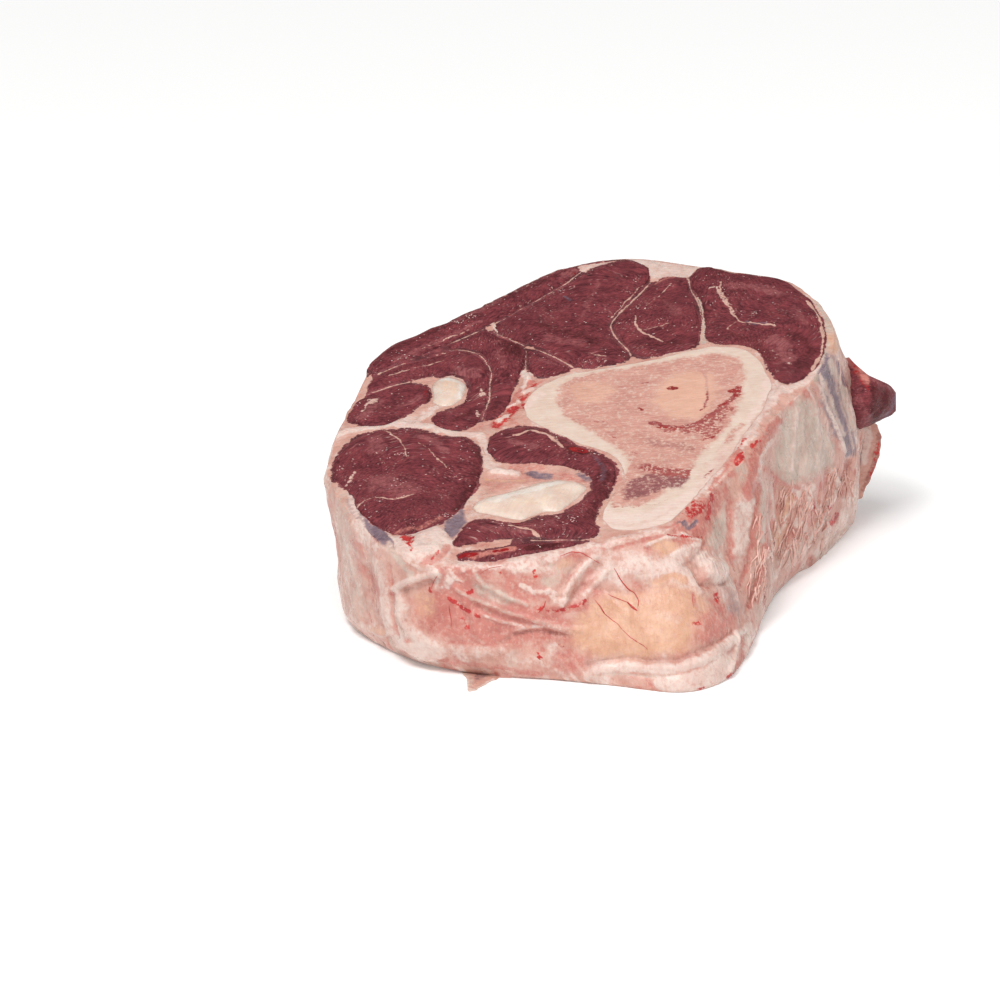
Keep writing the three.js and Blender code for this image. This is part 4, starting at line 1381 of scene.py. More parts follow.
# What the two cut faces show between the pieces, measured from the shin's axis in the plan.
CUT_FAT_MARKS = (
    line(T.LEAN, 2.4, 0.9, 0.3, 0.0, (-80, 32), (-76, 46), (-62, 58.5), (-46, 72), (-29, 88), (-12, 101),
         (8, 105)),
    line(T.WHITE, 2.2, 1.0, 0.4, 0.3, (-88, -6), (-80, -4), (-68, -2), (-58, -5), (-50, -11), (-42, -13),
         (-40, -21), (-39, -32)),
    line(T.WHITE, 1.2, 1.0, 0.4, 0.2, (-38, 62), (-36, 56), (-32, 51)),
    area(T.WHITE, 1.5, 1.0, 0.4, 0.0, (8, 104), (21, 100), (31, 96), (36, 95), (31, 92), (28, 87),
         (21, 89), (16, 88)),
    line(T.GREY, 1.3, 0.8, 0.4, 0.0, (31, 86), (31, 72), (32.5, 60), (31.5, 50), (31, 40)),
    area(T.PINK, 2.0, 0.35, 2.0, 0.0, (-39, -34), (-30, -33), (-18, -37), (-9, -44), (-14, -43),
         (-28, -45), (-40, -50)),
    line(T.LILAC, 3.0, 0.9, 1.2, 0.0, (-25, -38), (-21, -41)),
    line(T.LILAC, 2.2, 0.8, 1.0, 0.0, (-10, -41), (-8, -44)),
    line(T.PEACH, 1.2, 0.6, 0.4, 0.0, (-40, -40), (-34, -42), (-28, -42)),
    line(T.WHITE, 2.0, 1.0, 1.0, 0.9, (-38, -36), (-30, -38)),
    area(T.PINK, 1.2, 1.0, 1.0, 0.0, (-27, 21), (-22, 20), (-27, 10), (-31, 0), (-36, -9), (-39, -7),
         (-34, 4), (-31, 12)),
    line(T.BLOOD, 1.1, 0.8, 1.8, 0.0, (-24, 19), (-27, 12), (-29, 8)),
    line(T.BLOOD, 1.8, 0.9, 1.8, 0.0, (-31, 3), (-34, -2), (-37, -7)),
    line(T.BLOOD, 1.0, 0.8, 1.2, 0.0, (-29, 3), (-28, 6)),
    line(T.WHITE, 1.5, 0.9, 1.2, 0.6, (-28, 27), (-26, 21)),
    line(T.WHITE, 1.3, 1.0, 0.8, 0.8, (-25, 15), (-28, 13)),
    line(T.WHITE, 1.2, 1.0, 0.8, 0.8, (-30, 7), (-33, 4)),
    line(T.WHITE, 1.0, 0.9, 1.2, 0.5, (-33, 0), (-36, -4)),
    area(T.WHITE, 2.5, 0.9, 0.4, 0.8, (-74, -70), (-62, -74), (-52, -70), (-49, -79), (-52, -88),
         (-64, -90), (-74, -80)),
    line(T.BLOOD, 2.6, 1.0, 1.2, 0.0, (-65, -77), (-62, -81)),
    line(T.LILAC, 2.4, 0.9, 0.6, 0.0, (-82, -48), (-79, -60), (-73, -71), (-68, -78)),
    area(T.LILAC, 1.2, 0.9, 0.4, 0.0, (-52, -69), (-47, -59), (-46, -66), (-50, -76)),
    line(T.WHITE, 1.0, 0.5, 0.4, 0.0, (-44, -66), (-47, -72), (-50, -78)),
    line(T.BLOOD, 1.6, 0.8, 1.5, 0.0, (26, -48)),
    line(T.BLOOD, 1.4, 0.9, 1.0, 0.0, (38.5, -38), (40, -36)),
    line(T.BLOOD, 1.0, 0.7, 1.2, 0.0, (43, -30), (45, -27)),
    line(T.PINK, 3.0, 0.6, 2.0, 0.0, (28, -60), (24, -70), (14, -78)),
    line(T.WHITE, 2.0, 0.5, 1.0, 0.0, (56, 4), (54, 12)),
    area(T.WHITE, 1.5, 0.8, 0.4, 0.0, (66, 71), (72, 60), (76, 45), (75, 28), (72, 24), (73, 44),
         (70, 58)),
    line(T.PEACH, 2.5, 0.6, 1.5, 0.0, (76, 40), (74, 30)),
)

# What the fat and the outer side show, as they appear in the front view, from left to right. The dark
# marks that sink creases are painted shade.
FRONT_MARKS = (
    # seams that hardly show, and the rim of the round tendon
    line(T.GREY, 2.0, 1.0, 0.5, 0.0, (818, 296), (829, 317), (831, 338), (827, 358), (817, 378)),
    line(T.WHITE, 3.4, 0.9, 2.4, 0.7, (776, 388), (764, 408), (752, 426), (742, 440), (730, 456)),
    line(T.BLOOD, 0.8, 0.8, 1.4, 0.0, (746, 438), (738, 448)),
    line(T.PINK, 1.4, 0.8, 1.8, 0.0, (738, 452), (724, 468), (712, 484)),
    line(T.WHITE, 2.0, 0.7, 1.8, 0.5, (720, 468), (708, 482), (696, 496)),
    line(T.PINK, 3.4, 0.9, 1.8, 0.0, (600, 545), (560, 553), (520, 561), (480, 568), (450, 572)),
    line(T.LEAN, 1.0, 1.0, 0.6, 0.0, (512, 541), (540, 541), (570, 541), (588, 541)),
    line(T.LEAN, 2.6, 1.0, 0.3, 0.0, (396, 367), (415, 358), (432, 351), (450, 346)),
    line(T.LEAN, 1.3, 1.0, 0.4, 0.0, (438, 375), (452, 372), (465, 377), (471, 389), (468, 402),
         (459, 412)),
    line(T.WHITE, 1.6, 0.9, 1.0, 0.0, (444, 404), (428, 411), (410, 420), (398, 424)),
    line(T.WHITE, 1.3, 0.9, 1.2, 0.5, (533, 366), (528, 377), (522, 386)),
    # the left edge: creamy fat with upright folds
    area(T.GREY, 3.0, 0.45, 1.0, 0.0, (330, 480), (350, 490), (358, 530), (366, 570), (372, 610),
         (366, 634), (340, 610)),
    line(T.PINK, 1.2, 0.45, 0.6, 0.0, (354, 550), (362, 566), (370, 580)),
    line(None, 3.0, 1.0, 0.4, 1.0, (352, 520), (356, 550), (358, 585), (362, 615)),
    # painted shade in the crease between the folds
    line(T.HOLLOW, 1.5, 0.35, 0.5, -0.9, (367, 566), (371, 586), (374, 604), (380, 622), (389, 637)),
    line(T.WHITE, 2.0, 0.6, 0.5, 1.0, (376, 560), (384, 582), (386, 606), (392, 630), (400, 646)),
    line(T.PINK, 1.0, 0.45, 0.4, -0.6, (388, 566), (392, 590), (393, 614), (400, 634)),
    line(T.WHITE, 2.0, 0.7, 0.8, 0.9, (355, 616), (364, 626), (376, 631), (386, 634)),
    line(T.PEACH, 1.4, 0.6, 0.8, 0.0, (374, 629), (384, 632)),
    area(T.WHITE, 1.5, 0.65, 0.8, 0.0, (344, 486), (354, 492), (362, 512), (374, 536), (386, 548),
         (376, 552), (360, 540), (350, 515)),
    # silverskin under the left lobe, and the white lump beside it
    area(T.LILAC, 0.9, 1.0, 0.5, -0.2, (361, 505), (367, 511), (377, 521), (389, 533), (391, 545),
         (384, 547), (374, 538), (365, 522)),
    line(T.GREY, 1.8, 0.7, 0.5, 0.0, (388, 546), (396, 557), (404, 567), (412, 576)),
    line(T.WHITE, 0.8, 0.7, 0.4, 0.4, (388, 530), (396, 548), (406, 560), (420, 569)),
    area(T.WHITE, 1.4, 1.0, 0.7, 0.7, (396, 545), (402, 533), (420, 530), (430, 524), (441, 528),
         (446, 540), (441, 552), (430, 560), (415, 562), (403, 557)),
    line(T.BLOOD, 2.2, 1.0, 0.9, 0.0, (404, 541), (410, 544)),
    line(T.BLOOD, 1.0, 0.9, 0.5, 0.0, (409, 546), (412, 553)),
    area(T.LILAC, 0.8, 1.0, 0.5, -0.4, (444, 522), (452, 512), (460, 503), (465, 509), (462, 522),
         (456, 532), (450, 537), (444, 531)),
    line(T.GREY, 1.2, 0.8, 0.6, 0.0, (452, 508), (462, 499), (472, 497)),
    line(T.PINK, 1.6, 0.7, 0.8, -0.2, (424, 563), (440, 556), (448, 549)),
    line(T.BLOOD, 0.5, 0.6, 0.4, 0.0, (431, 560), (438, 554)),
    # the pale lip and the roll below it
    # painted shadow under the pale lip
    line(T.HOLLOW, 2.2, 0.32, 0.3, -0.8, (400, 592), (410, 589), (424, 584), (436, 580)),
    line(T.WHITE, 1.6, 1.0, 0.3, 1.2, (394, 589), (402, 584), (412, 580), (424, 577), (436, 573)),
    area(T.WHITE, 1.2, 1.0, 0.8, 1.1, (396, 592), (405, 598), (404, 613), (411, 627), (428, 635),
         (440, 645), (445, 655), (438, 661), (420, 657), (406, 648), (399, 630)),
    line(T.WHITE, 1.2, 0.8, 0.6, 0.6, (402, 640), (414, 648), (430, 655)),
    line(T.GREY, 0.9, 0.6, 0.5, -0.4, (400, 618), (406, 632), (416, 640)),
    line(T.PINK, 1.3, 0.8, 0.8, 0.0, (411, 638)),
    line(T.GREY, 1.0, 0.6, 0.5, 0.0, (389, 640), (398, 652), (406, 659)),
    # the sunken front, with painted shade along its creases
    area(T.PINK, 5.0, 1.0, 1.4, -1.0, (412, 600), (430, 584), (455, 578), (480, 577), (505, 586),
         (535, 604), (570, 618), (584, 624), (570, 634), (540, 640), (500, 646), (460, 643), (436, 636),
         (418, 624)),
    area(T.GREY, 2.4, 0.75, 0.8, -0.3, (474, 582), (486, 584), (504, 592), (516, 602), (504, 606),
         (488, 602), (474, 594)),
    area(T.PEACH, 2.5, 0.6, 0.4, 0.0, (410, 594), (426, 588), (436, 600), (432, 618), (418, 618)),
    area(T.WHITE, 1.5, 0.7, 1.6, 0.3, (430, 572), (448, 570), (456, 580), (446, 592), (432, 588)),
    line(T.PINK, 1.5, 0.6, 1.5, 0.0, (458, 600), (464, 620), (470, 636)),
    line(T.GREY, 1.0, 0.55, 0.4, 0.8, (474, 571), (482, 584), (496, 592), (512, 600), (527, 605)),
    line(T.HOLLOW, 1.0, 0.28, 0.3, -0.3, (479, 588), (494, 597), (510, 605)),
    line(T.GREY, 1.0, 0.5, 0.4, 0.9, (456, 590), (472, 599), (492, 607), (514, 615), (538, 622),
         (562, 627), (580, 630)),
    line(T.HOLLOW, 1.0, 0.24, 0.3, -0.4, (476, 607), (496, 615), (520, 623), (544, 628)),
    line(T.WHITE, 0.9, 0.5, 0.3, 0.6, (474, 614), (490, 619), (508, 623), (522, 627)),
    line(T.WHITE, 1.1, 0.5, 0.4, 0.7, (516, 631), (532, 627), (550, 627), (570, 632)),
    line(T.HOLLOW, 1.2, 0.42, 0.3, -0.6, (502, 644), (512, 637), (528, 632), (545, 632), (564, 635)),
    line(T.PINK, 0.7, 0.7, 0.3, -0.2, (446, 642), (470, 644), (500, 644)),
    line(T.WHITE, 2.5, 0.3, 0.6, 0.6, (450, 650), (480, 652), (510, 652)),
    area(T.PINK, 2.5, 0.6, 1.5, 0.0, (552, 652), (574, 646), (592, 652), (590, 668), (566, 674),
         (548, 668)),
    line(T.PINK, 1.2, 0.6, 0.8, 0.0, (440, 660), (470, 664), (505, 668), (540, 674)),
    # the mottled band under the edge of the cut
    area(T.WHITE, 1.6, 0.7, 1.6, 0.4, (440, 562), (470, 560), (505, 560), (530, 548), (570, 543),
         (600, 540), (600, 552), (575, 552), (548, 566), (520, 574), (490, 570), (460, 572)),
    line(T.PINK, 1.2, 0.7, 0.8, -0.3, (438, 566), (444, 575), (440, 584)),
    line(T.PINK, 1.0, 0.6, 0.8, -0.3, (456, 566), (462, 574), (470, 572)),
    line(T.WHITE, 0.9, 0.6, 0.8, 0.5, (450, 570), (456, 580), (464, 584)),
    area(T.PINK, 1.6, 0.6, 1.5, -0.2, (504, 574), (520, 576), (540, 584), (552, 598), (534, 600),
         (514, 592)),
    line(T.WHITE, 1.2, 0.7, 1.4, 0.5, (520, 586), (536, 592), (548, 590), (560, 600)),
    line(T.GREY, 1.6, 0.5, 1.2, -0.3, (540, 560), (556, 566), (560, 580)),
    # the puckered roll
    line(T.WHITE, 1.6, 0.75, 0.5, 1.2, (594, 558), (583, 568), (573, 580), (566, 594), (562, 604)),
    line(T.HOLLOW, 1.4, 0.35, 0.4, -0.8, (600, 566), (588, 577), (578, 590), (572, 602)),
    line(T.WHITE, 1.4, 0.5, 0.4, 0.8, (609, 570), (597, 581), (587, 593), (580, 606)),
    line(T.HOLLOW, 1.2, 0.28, 0.4, -0.6, (580, 562), (570, 574), (561, 588)),
    line(T.PEACH, 2.0, 0.5, 1.2, 0.0, (560, 566), (570, 560)),
    # the smooth yellowish bulge
    area(T.PEACH, 5.0, 1.0, 0.8, 0.7, (592, 604), (612, 594), (645, 592), (670, 584), (694, 592),
         (708, 610), (704, 636), (684, 652), (645, 658), (605, 658), (576, 648), (570, 630)),
    # painted highlight: a pale band along the upper edge of the bulge
    area(T.WHITE, 2.6, 0.62, 0.5, 0.9, (588, 578), (602, 563), (622, 557), (645, 553), (664, 556),
         (684, 566), (698, 580), (706, 596), (688, 590), (668, 577), (640, 576), (612, 584)),
    line(T.HOLLOW, 1.2, 0.29, 0.2, -0.5, (586, 586), (602, 590), (622, 592), (645, 589), (666, 581)),
    area(T.PEACH, 1.8, 0.95, 0.8, 0.2, (648, 541), (662, 538), (682, 542), (676, 552), (662, 556)),
    line(T.PEACH, 1.6, 0.8, 0.6, 0.0, (655, 583), (672, 576), (684, 582)),
    area(T.PINK, 3.0, 0.7, 1.6, 0.0, (694, 612), (714, 606), (736, 616), (742, 632), (722, 640),
         (700, 650), (688, 640)),
    # painted highlight on the bulge
    line(T.WHITE, 2.4, 0.35, 1.0, 0.0, (664, 616), (676, 622)),
    line(T.PEACH, 2.0, 0.6, 1.2, 0.0, (600, 640), (640, 648), (680, 646)),
    # raw pink tissue over and beside the bulge
    line(T.WHITE, 2.0, 0.6, 0.8, 0.5, (600, 545), (625, 538), (645, 533), (668, 530)),
    line(T.PINK, 1.0, 0.6, 0.6, -0.2, (614, 548), (640, 541), (664, 536)),
    area(T.PINK, 2.0, 0.85, 1.5, -0.3, (668, 530), (684, 520), (700, 500), (716, 492), (722, 502),
         (712, 524), (706, 546), (692, 552), (676, 545)),
    area(T.BLOOD, 1.5, 0.7, 1.6, 0.0, (684, 510), (692, 500), (704, 500), (706, 512), (696, 518),
         (686, 520)),
    line(T.BLOOD, 1.3, 0.95, 1.2, 0.0, (712, 494), (710, 506), (709, 519)),
    line(T.LILAC, 1.2, 0.8, 0.8, -0.5, (680, 520), (690, 527), (698, 522)),
    line(T.WHITE, 0.9, 0.7, 0.5, 0.6, (646, 546), (664, 538), (684, 534), (700, 540)),
    line(T.BLOOD, 0.5, 0.8, 0.5, -0.3, (668, 535), (684, 536), (704, 537)),
    line(T.WHITE, 1.5, 0.7, 0.6, 0.7, (672, 556), (684, 548), (698, 544)),
    line(T.HOLLOW, 1.2, 0.35, 0.5, -0.6, (684, 566), (692, 560), (702, 550), (708, 540)),
    area(T.WHITE, 1.2, 0.75, 0.4, 1.6, (702, 564), (710, 559), (722, 562), (726, 572), (718, 580),
         (704, 578)),
    line(T.HOLLOW, 1.4, 0.52, 0.5, -0.8, (701, 584), (712, 586), (724, 583)),
    line(T.HOLLOW, 1.2, 0.35, 0.4, -0.6, (696, 560), (695, 574), (700, 584)),
    area(T.GREY, 1.2, 0.8, 0.7, 0.4, (712, 520), (722, 509), (729, 520), (724, 541), (714, 553),
         (706, 545)),
    line(T.PINK, 1.3, 0.6, 1.0, 0.4, (727, 560), (736, 556), (746, 558)),
    area(T.LILAC, 2.5, 0.5, 1.5, 0.0, (716, 586), (730, 590), (744, 606), (742, 618), (726, 612)),
    line(T.BLOOD, 1.5, 1.0, 0.7, -0.3, (717, 597), (716, 606)),
    line(T.PINK, 2.2, 0.7, 1.2, 0.0, (712, 602), (720, 610)),
    line(T.BLOOD, 0.9, 0.8, 0.5, 0.0, (693, 625), (697, 624)),
    line(T.PINK, 1.0, 0.7, 0.6, 0.0, (692, 596), (694, 608)),
    # the white roll along the foot, and the flaps at the corner
    # painted shadow along the crease above the white roll
    line(T.HOLLOW, 1.4, 0.35, 0.3, -0.7, (588, 664), (606, 660), (628, 658), (652, 661), (680, 660),
         (700, 651), (718, 641), (733, 632)),
    line(T.WHITE, 2.4, 1.0, 0.4, 1.1, (590, 676), (604, 669), (626, 666), (652, 669), (680, 668),
         (700, 661), (718, 651), (731, 640)),
    line(T.GREY, 0.7, 0.6, 0.4, -0.3, (596, 674), (620, 673), (650, 677), (676, 676)),
    area(T.WHITE, 1.2, 0.9, 0.6, 0.5, (652, 678), (680, 676), (706, 668), (730, 652), (736, 664),
         (728, 682), (706, 694), (690, 701), (672, 697), (656, 688)),
    # painted highlight along the edge of the roll
    line(T.WHITE, 0.7, 1.0, 0.2, 1.0, (734, 632), (735, 646), (733, 660), (727, 672)),
    line(T.PINK, 1.4, 0.8, 0.9, -0.3, (740, 640), (743, 654), (738, 668)),
    line(T.BLOOD, 0.9, 0.9, 0.8, 0.0, (727, 677), (736, 672)),
    line(T.BLOOD, 0.8, 0.8, 0.6, 0.0, (697, 689), (702, 688)),
    line(T.WHITE, 1.8, 0.9, 0.6, 0.9, (741, 632), (748, 626), (751, 634), (746, 642)),
    line(T.WHITE, 1.4, 0.8, 0.5, 0.6, (744, 648), (749, 658), (744, 664)),
    # pink columns of the right side
    area(T.WHITE, 1.6, 0.6, 1.0, 0.4, (732, 504), (742, 490), (752, 484), (756, 510), (750, 540),
         (742, 560), (732, 552), (730, 526)),
    line(T.PINK, 1.2, 0.85, 0.8, -0.5, (758, 484), (757, 510), (753, 540), (747, 566), (742, 584)),
    line(T.PINK, 1.6, 0.6, 0.8, -0.4, (730, 500), (728, 524), (731, 552)),
    line(T.PINK, 2.4, 0.8, 1.4, 0.6, (777, 420), (765, 436), (756, 452), (750, 476), (746, 496)),
    line(T.WHITE, 1.2, 0.6, 1.0, 0.5, (770, 440), (760, 456), (756, 476)),
    line(T.GREY, 1.8, 0.7, 0.8, 0.4, (764, 490), (765, 515), (760, 540)),
    line(T.PINK, 1.3, 0.9, 1.0, 0.5, (768, 540), (762, 560), (758, 580), (750, 606)),
    line(T.PINK, 1.0, 0.7, 0.8, -0.3, (772, 520), (768, 540)),
    line(T.HOLLOW, 1.4, 0.56, 0.6, -0.7, (766, 560), (769, 580), (766, 602)),
    line(T.HOLLOW, 1.0, 0.42, 0.5, -0.5, (757, 566), (752, 590), (746, 612)),
    line(T.WHITE, 0.9, 0.8, 0.7, 0.7, (790, 500), (782, 520), (772, 540), (766, 556)),
    line(T.WHITE, 0.9, 0.7, 0.8, 0.7, (800, 522), (790, 540), (780, 560), (774, 580)),
    line(T.HOLLOW, 1.0, 0.42, 0.5, -0.5, (794, 520), (784, 540), (776, 560)),
    # the pale smooth skin and the silverskin at the right
    area(T.GREY, 2.0, 0.95, 0.8, 0.0, (786, 414), (798, 400), (814, 402), (824, 425), (834, 446),
         (828, 466), (806, 482), (782, 484), (772, 466), (778, 438)),
    line(T.WHITE, 1.2, 0.5, 0.5, 0.6, (797, 408), (795, 436), (788, 470)),
    line(T.HOLLOW, 1.2, 0.21, 0.4, -0.5, (806, 410), (806, 440), (798, 470)),
    line(T.WHITE, 1.0, 0.5, 0.5, 0.6, (816, 410), (820, 436), (816, 462)),
    line(T.PINK, 1.4, 0.6, 1.0, 0.4, (766, 470), (780, 484), (796, 488)),
    area(T.LILAC, 1.2, 0.9, 1.2, -0.3, (817, 366), (830, 352), (842, 362), (850, 390), (858, 424),
         (856, 454), (846, 458), (836, 438), (823, 410)),
    line(T.GREY, 1.6, 0.75, 0.9, 0.0, (832, 362), (839, 382), (848, 406), (852, 428)),
    line(T.GREY, 1.2, 0.7, 0.9, 0.0, (824, 384), (832, 408), (842, 434)),
    line(T.GREY, 0.8, 0.5, 0.5, 0.4, (828, 360), (836, 388), (846, 420), (852, 448)),
    line(T.DARK, 1.0, 0.8, 0.8, -0.3, (838, 372), (848, 400), (855, 432)),
    line(T.WHITE, 0.9, 0.8, 0.4, 0.5, (820, 374), (824, 400), (834, 424), (844, 452)),
    line(T.WHITE, 0.9, 0.8, 0.4, 0.6, (846, 388), (853, 414), (857, 448)),
    area(T.LILAC, 1.0, 0.9, 0.4, 0.0, (852, 388), (862, 390), (867, 414), (860, 422), (854, 402)),
    area(T.PEACH, 1.6, 0.8, 1.2, 0.0, (822, 330), (842, 330), (848, 352), (832, 356)),
    area(T.PINK, 1.2, 0.9, 0.8, 0.0, (842, 350), (852, 356), (866, 374), (866, 386), (852, 378)),
    line(T.BLOOD, 0.8, 0.6, 0.8, 0.0, (848, 358), (860, 374)),
    line(T.WHITE, 1.6, 0.8, 0.6, 0.3, (780, 392), (800, 384), (814, 372), (822, 352)),
    # frayed tissue low on the right
    area(T.PINK, 2.5, 0.35, 2.0, 0.0, (800, 470), (824, 474), (846, 464), (858, 466), (846, 490),
         (838, 506), (820, 520), (800, 540), (782, 552), (776, 524), (784, 494)),
    line(T.WHITE, 1.3, 1.0, 0.7, 1.2, (832, 470), (838, 486), (828, 500), (822, 518), (812, 533),
         (801, 552)),
    line(T.HOLLOW, 1.8, 0.63, 0.8, -0.8, (850, 462), (846, 474), (838, 492)),
    line(T.HOLLOW, 1.4, 0.42, 0.5, -0.8, (829, 514), (820, 530), (808, 548)),
    line(T.WHITE, 1.4, 0.8, 1.4, 0.7, (812, 484), (806, 504), (796, 524)),
    line(T.PEACH, 3.0, 0.7, 1.6, 0.0, (790, 500), (782, 520), (776, 540)),
    line(T.WHITE, 1.4, 0.7, 1.6, 0.0, (798, 492), (788, 512), (778, 530)),
    line(T.BLOOD, 1.2, 0.7, 0.6, 0.0, (812, 502), (812, 510)),
    line(T.BLOOD, 1.0, 0.8, 0.7, 0.0, (823, 508), (828, 506)),
    line(T.BLOOD, 1.2, 1.0, 0.4, 0.0, (836, 514), (832, 523)),
    line(T.HOLLOW, 0.9, 0.63, 0.4, -0.5, (784, 496), (783, 505), (781, 514)),
    area(T.WHITE, 1.4, 1.0, 0.8, 0.5, (843, 500), (858, 496), (862, 520), (856, 534), (844, 543),
         (830, 552), (818, 560), (812, 552), (822, 540), (838, 520)),
    line(T.GREY, 1.0, 0.7, 0.5, -0.6, (850, 500), (848, 520), (840, 534)),
    line(T.GREY, 1.0, 0.6, 0.5, -0.5, (838, 532), (828, 544), (820, 556)),
    # blood
    line(T.BLOOD, 1.0, 1.0, 0.4, 0.0, (468, 593), (472, 592)),
    line(T.PINK, 1.6, 0.8, 0.8, 0.0, (436, 597), (448, 599), (460, 606), (478, 617)),
    line(T.BLOOD, 0.9, 1.0, 0.4, 0.0, (448, 600), (454, 603), (461, 608), (468, 612)),
    line(T.BLOOD, 0.8, 0.9, 0.5, 0.0, (474, 615), (479, 618)),
    line(T.BLOOD, 2.0, 0.5, 1.5, 0.0, (462, 620), (465, 632)),
    line(T.BLOOD, 1.5, 1.0, 0.6, 0.0, (536, 614), (543, 609)),
    line(T.PINK, 2.0, 0.8, 0.8, 0.0, (526, 617), (548, 613), (566, 609), (584, 605)),
    line(T.BLOOD, 0.7, 0.8, 0.6, 0.0, (548, 612), (564, 609), (578, 606), (586, 600)),
    line(T.BLOOD, 0.8, 0.9, 0.5, 0.0, (533, 571), (535, 577)),
    line(T.BLOOD, 0.6, 0.7, 0.5, 0.0, (500, 571), (500, 575)),
    line(T.BLOOD, 0.7, 0.7, 0.5, 0.0, (428, 588), (429, 592)),
    line(T.BLOOD, 0.9, 1.0, 0.3, 0.0, (538, 653), (540, 657)),
    line(T.BLOOD, 0.8, 0.8, 0.5, 0.0, (560, 643), (563, 645)),
    line(T.BLOOD, 1.4, 1.0, 0.7, 0.0, (736, 462), (741, 455)),
    line(T.BLOOD, 1.2, 0.7, 1.0, 0.0, (752, 446), (760, 440)),
    area(T.BLOOD, 1.2, 0.6, 1.2, 0.0, (684, 484), (694, 474), (704, 470), (700, 480), (690, 488)),
)

# Thin vessels that lie on the surface, as they appear in the front view, with their thickness.
VESSELS = (
    (0.17, (614, 568), (620, 578), (627, 588), (634, 593), (639, 600), (638, 606)),
    (0.13, (608, 594), (618, 598), (627, 602)),
    (0.36, (627, 602), (632, 607), (637, 611)),
    (0.12, (597, 603), (604, 614), (615, 622), (622, 629)),
    (0.09, (622, 629), (632, 638), (643, 645), (648, 649)),
    (0.14, (560, 556), (572, 552), (582, 553), (592, 559), (600, 564)),
    (0.12, (449, 606), (451, 618), (451, 627)),
    (0.18, (545, 601), (544, 607), (538, 613)),
    (0.10, (430, 592), (434, 580), (440, 572)),
    (0.09, (594, 600), (600, 606), (606, 616)),
    (0.08, (480, 574), (490, 568), (502, 566)),
    (0.08, (694, 593), (692, 600), (694, 608)),
)


# Where frayed strands hang, as they appear in the front view: middle, reach, and how many.
FRAYS = (
    ((775, 530), 20, 22, 44),
    ((812, 520), 16, 22, 40),
    ((758, 575), 8, 22, 26),
    ((840, 478), 14, 12, 26),
    ((795, 490), 16, 12, 18),
)


def side_relief(points: Points, bearing: Points, share: Points) -> tuple[Points, Points]:
    """Lumps and folds of the outer side, in mm, and the folds alone, from about -1 to 1."""
    lean = 0.5 * points[:, 2] + 5.0 * noise(points, 20.0, 8) + 2.0 * noise(points, 7.0, 9)
    turn = bearing + lean / AROUND
    run = np.column_stack([AROUND * np.cos(turn), AROUND * np.sin(turn), points[:, 2]])
    lumps = 1.3 * fractal(points, 16.0, 11)
    wide = 1.0 - 2.4 * np.abs(noise(run, (8.0, 8.0, 26.0), 12))
    thin = 1.0 - 2.4 * np.abs(noise(run, (3.4, 3.4, 13.0), 15))
    folds = 0.9 * np.clip(wide, -0.6, 1.0) + 0.45 * np.clip(thin, -0.6, 1.0)
    folds *= 0.35 + 0.65 * smoothstep(-0.3, 0.4, noise(points, 24.0, 13))
    crumbs = 0.35 * fractal(points, 3.4, 14)
    ends = 0.35 + 0.65 * np.sin(math.pi * np.clip(share, 0, 1)) ** 0.5
    return (lumps + folds + crumbs) * ends, folds + crumbs


@dataclass(frozen=True)
class Mottle:
    """Soft patches of one tissue, scattered over a surface.

    Attributes:
        tissue: what they show.
        size: their size, in mm.
        seed: their random seed.
        low: how rare they are; more is rarer.
        most: how fully they cover at most.
    """

    tissue: Tissue
    size: float
    seed: int
    low: float
    most: float


HIDDEN_MOTTLES = (
    Mottle(T.PINK, 16.0, 21, -0.1, 0.6), Mottle(T.GREY, 20.0, 22, -0.1, 0.75),
    Mottle(T.LILAC, 22.0, 23, 0.05, 0.7), Mottle(T.PEACH, 15.0, 24, 0.05, 0.7),
    Mottle(T.WHITE, 9.0, 25, 0.0, 0.85))
FINE_MOTTLES = (
    Mottle(T.WHITE, 3.4, 61, 0.05, 0.5), Mottle(T.PINK, 4.6, 62, 0.0, 0.65),
    Mottle(T.GREY, 6.0, 63, 0.15, 0.5))
CUT_MOTTLES = (
    Mottle(T.PINK, 9.0, 41, 0.1, 0.45), Mottle(T.WHITE, 7.0, 42, 0.0, 0.6),
    Mottle(T.GREY, 11.0, 43, 0.2, 0.4))
RIM_LEAN = ((1.75, 1.85), (2.72, 2.8))  # bearings between which lean meat reaches the back's rim
SIDE_LOWEST = 0.05  # height of the side's lowest points, just clear of the floor


def scatter(canvas: Canvas, points: Points, mottles: Sequence[Mottle], fade: float,
            stretch: Sequence[float], share: Points | float = 1.0) -> None:
    """Scatters patches over a surface.

    Args:
        canvas: takes them.
        points: the surface's points.
        mottles: the patches.
        fade: how softly they end.
        stretch: their size along each axis, as a multiple of their own.
        share: how fully they cover in each place.
    """
    for patch in mottles:
        size = [patch.size * factor for factor in stretch]
        cover = smoothstep(patch.low, patch.low + fade, fractal(points, size, patch.seed))
        canvas.lay(patch.tissue, np.arange(len(points)), patch.most * cover * share)


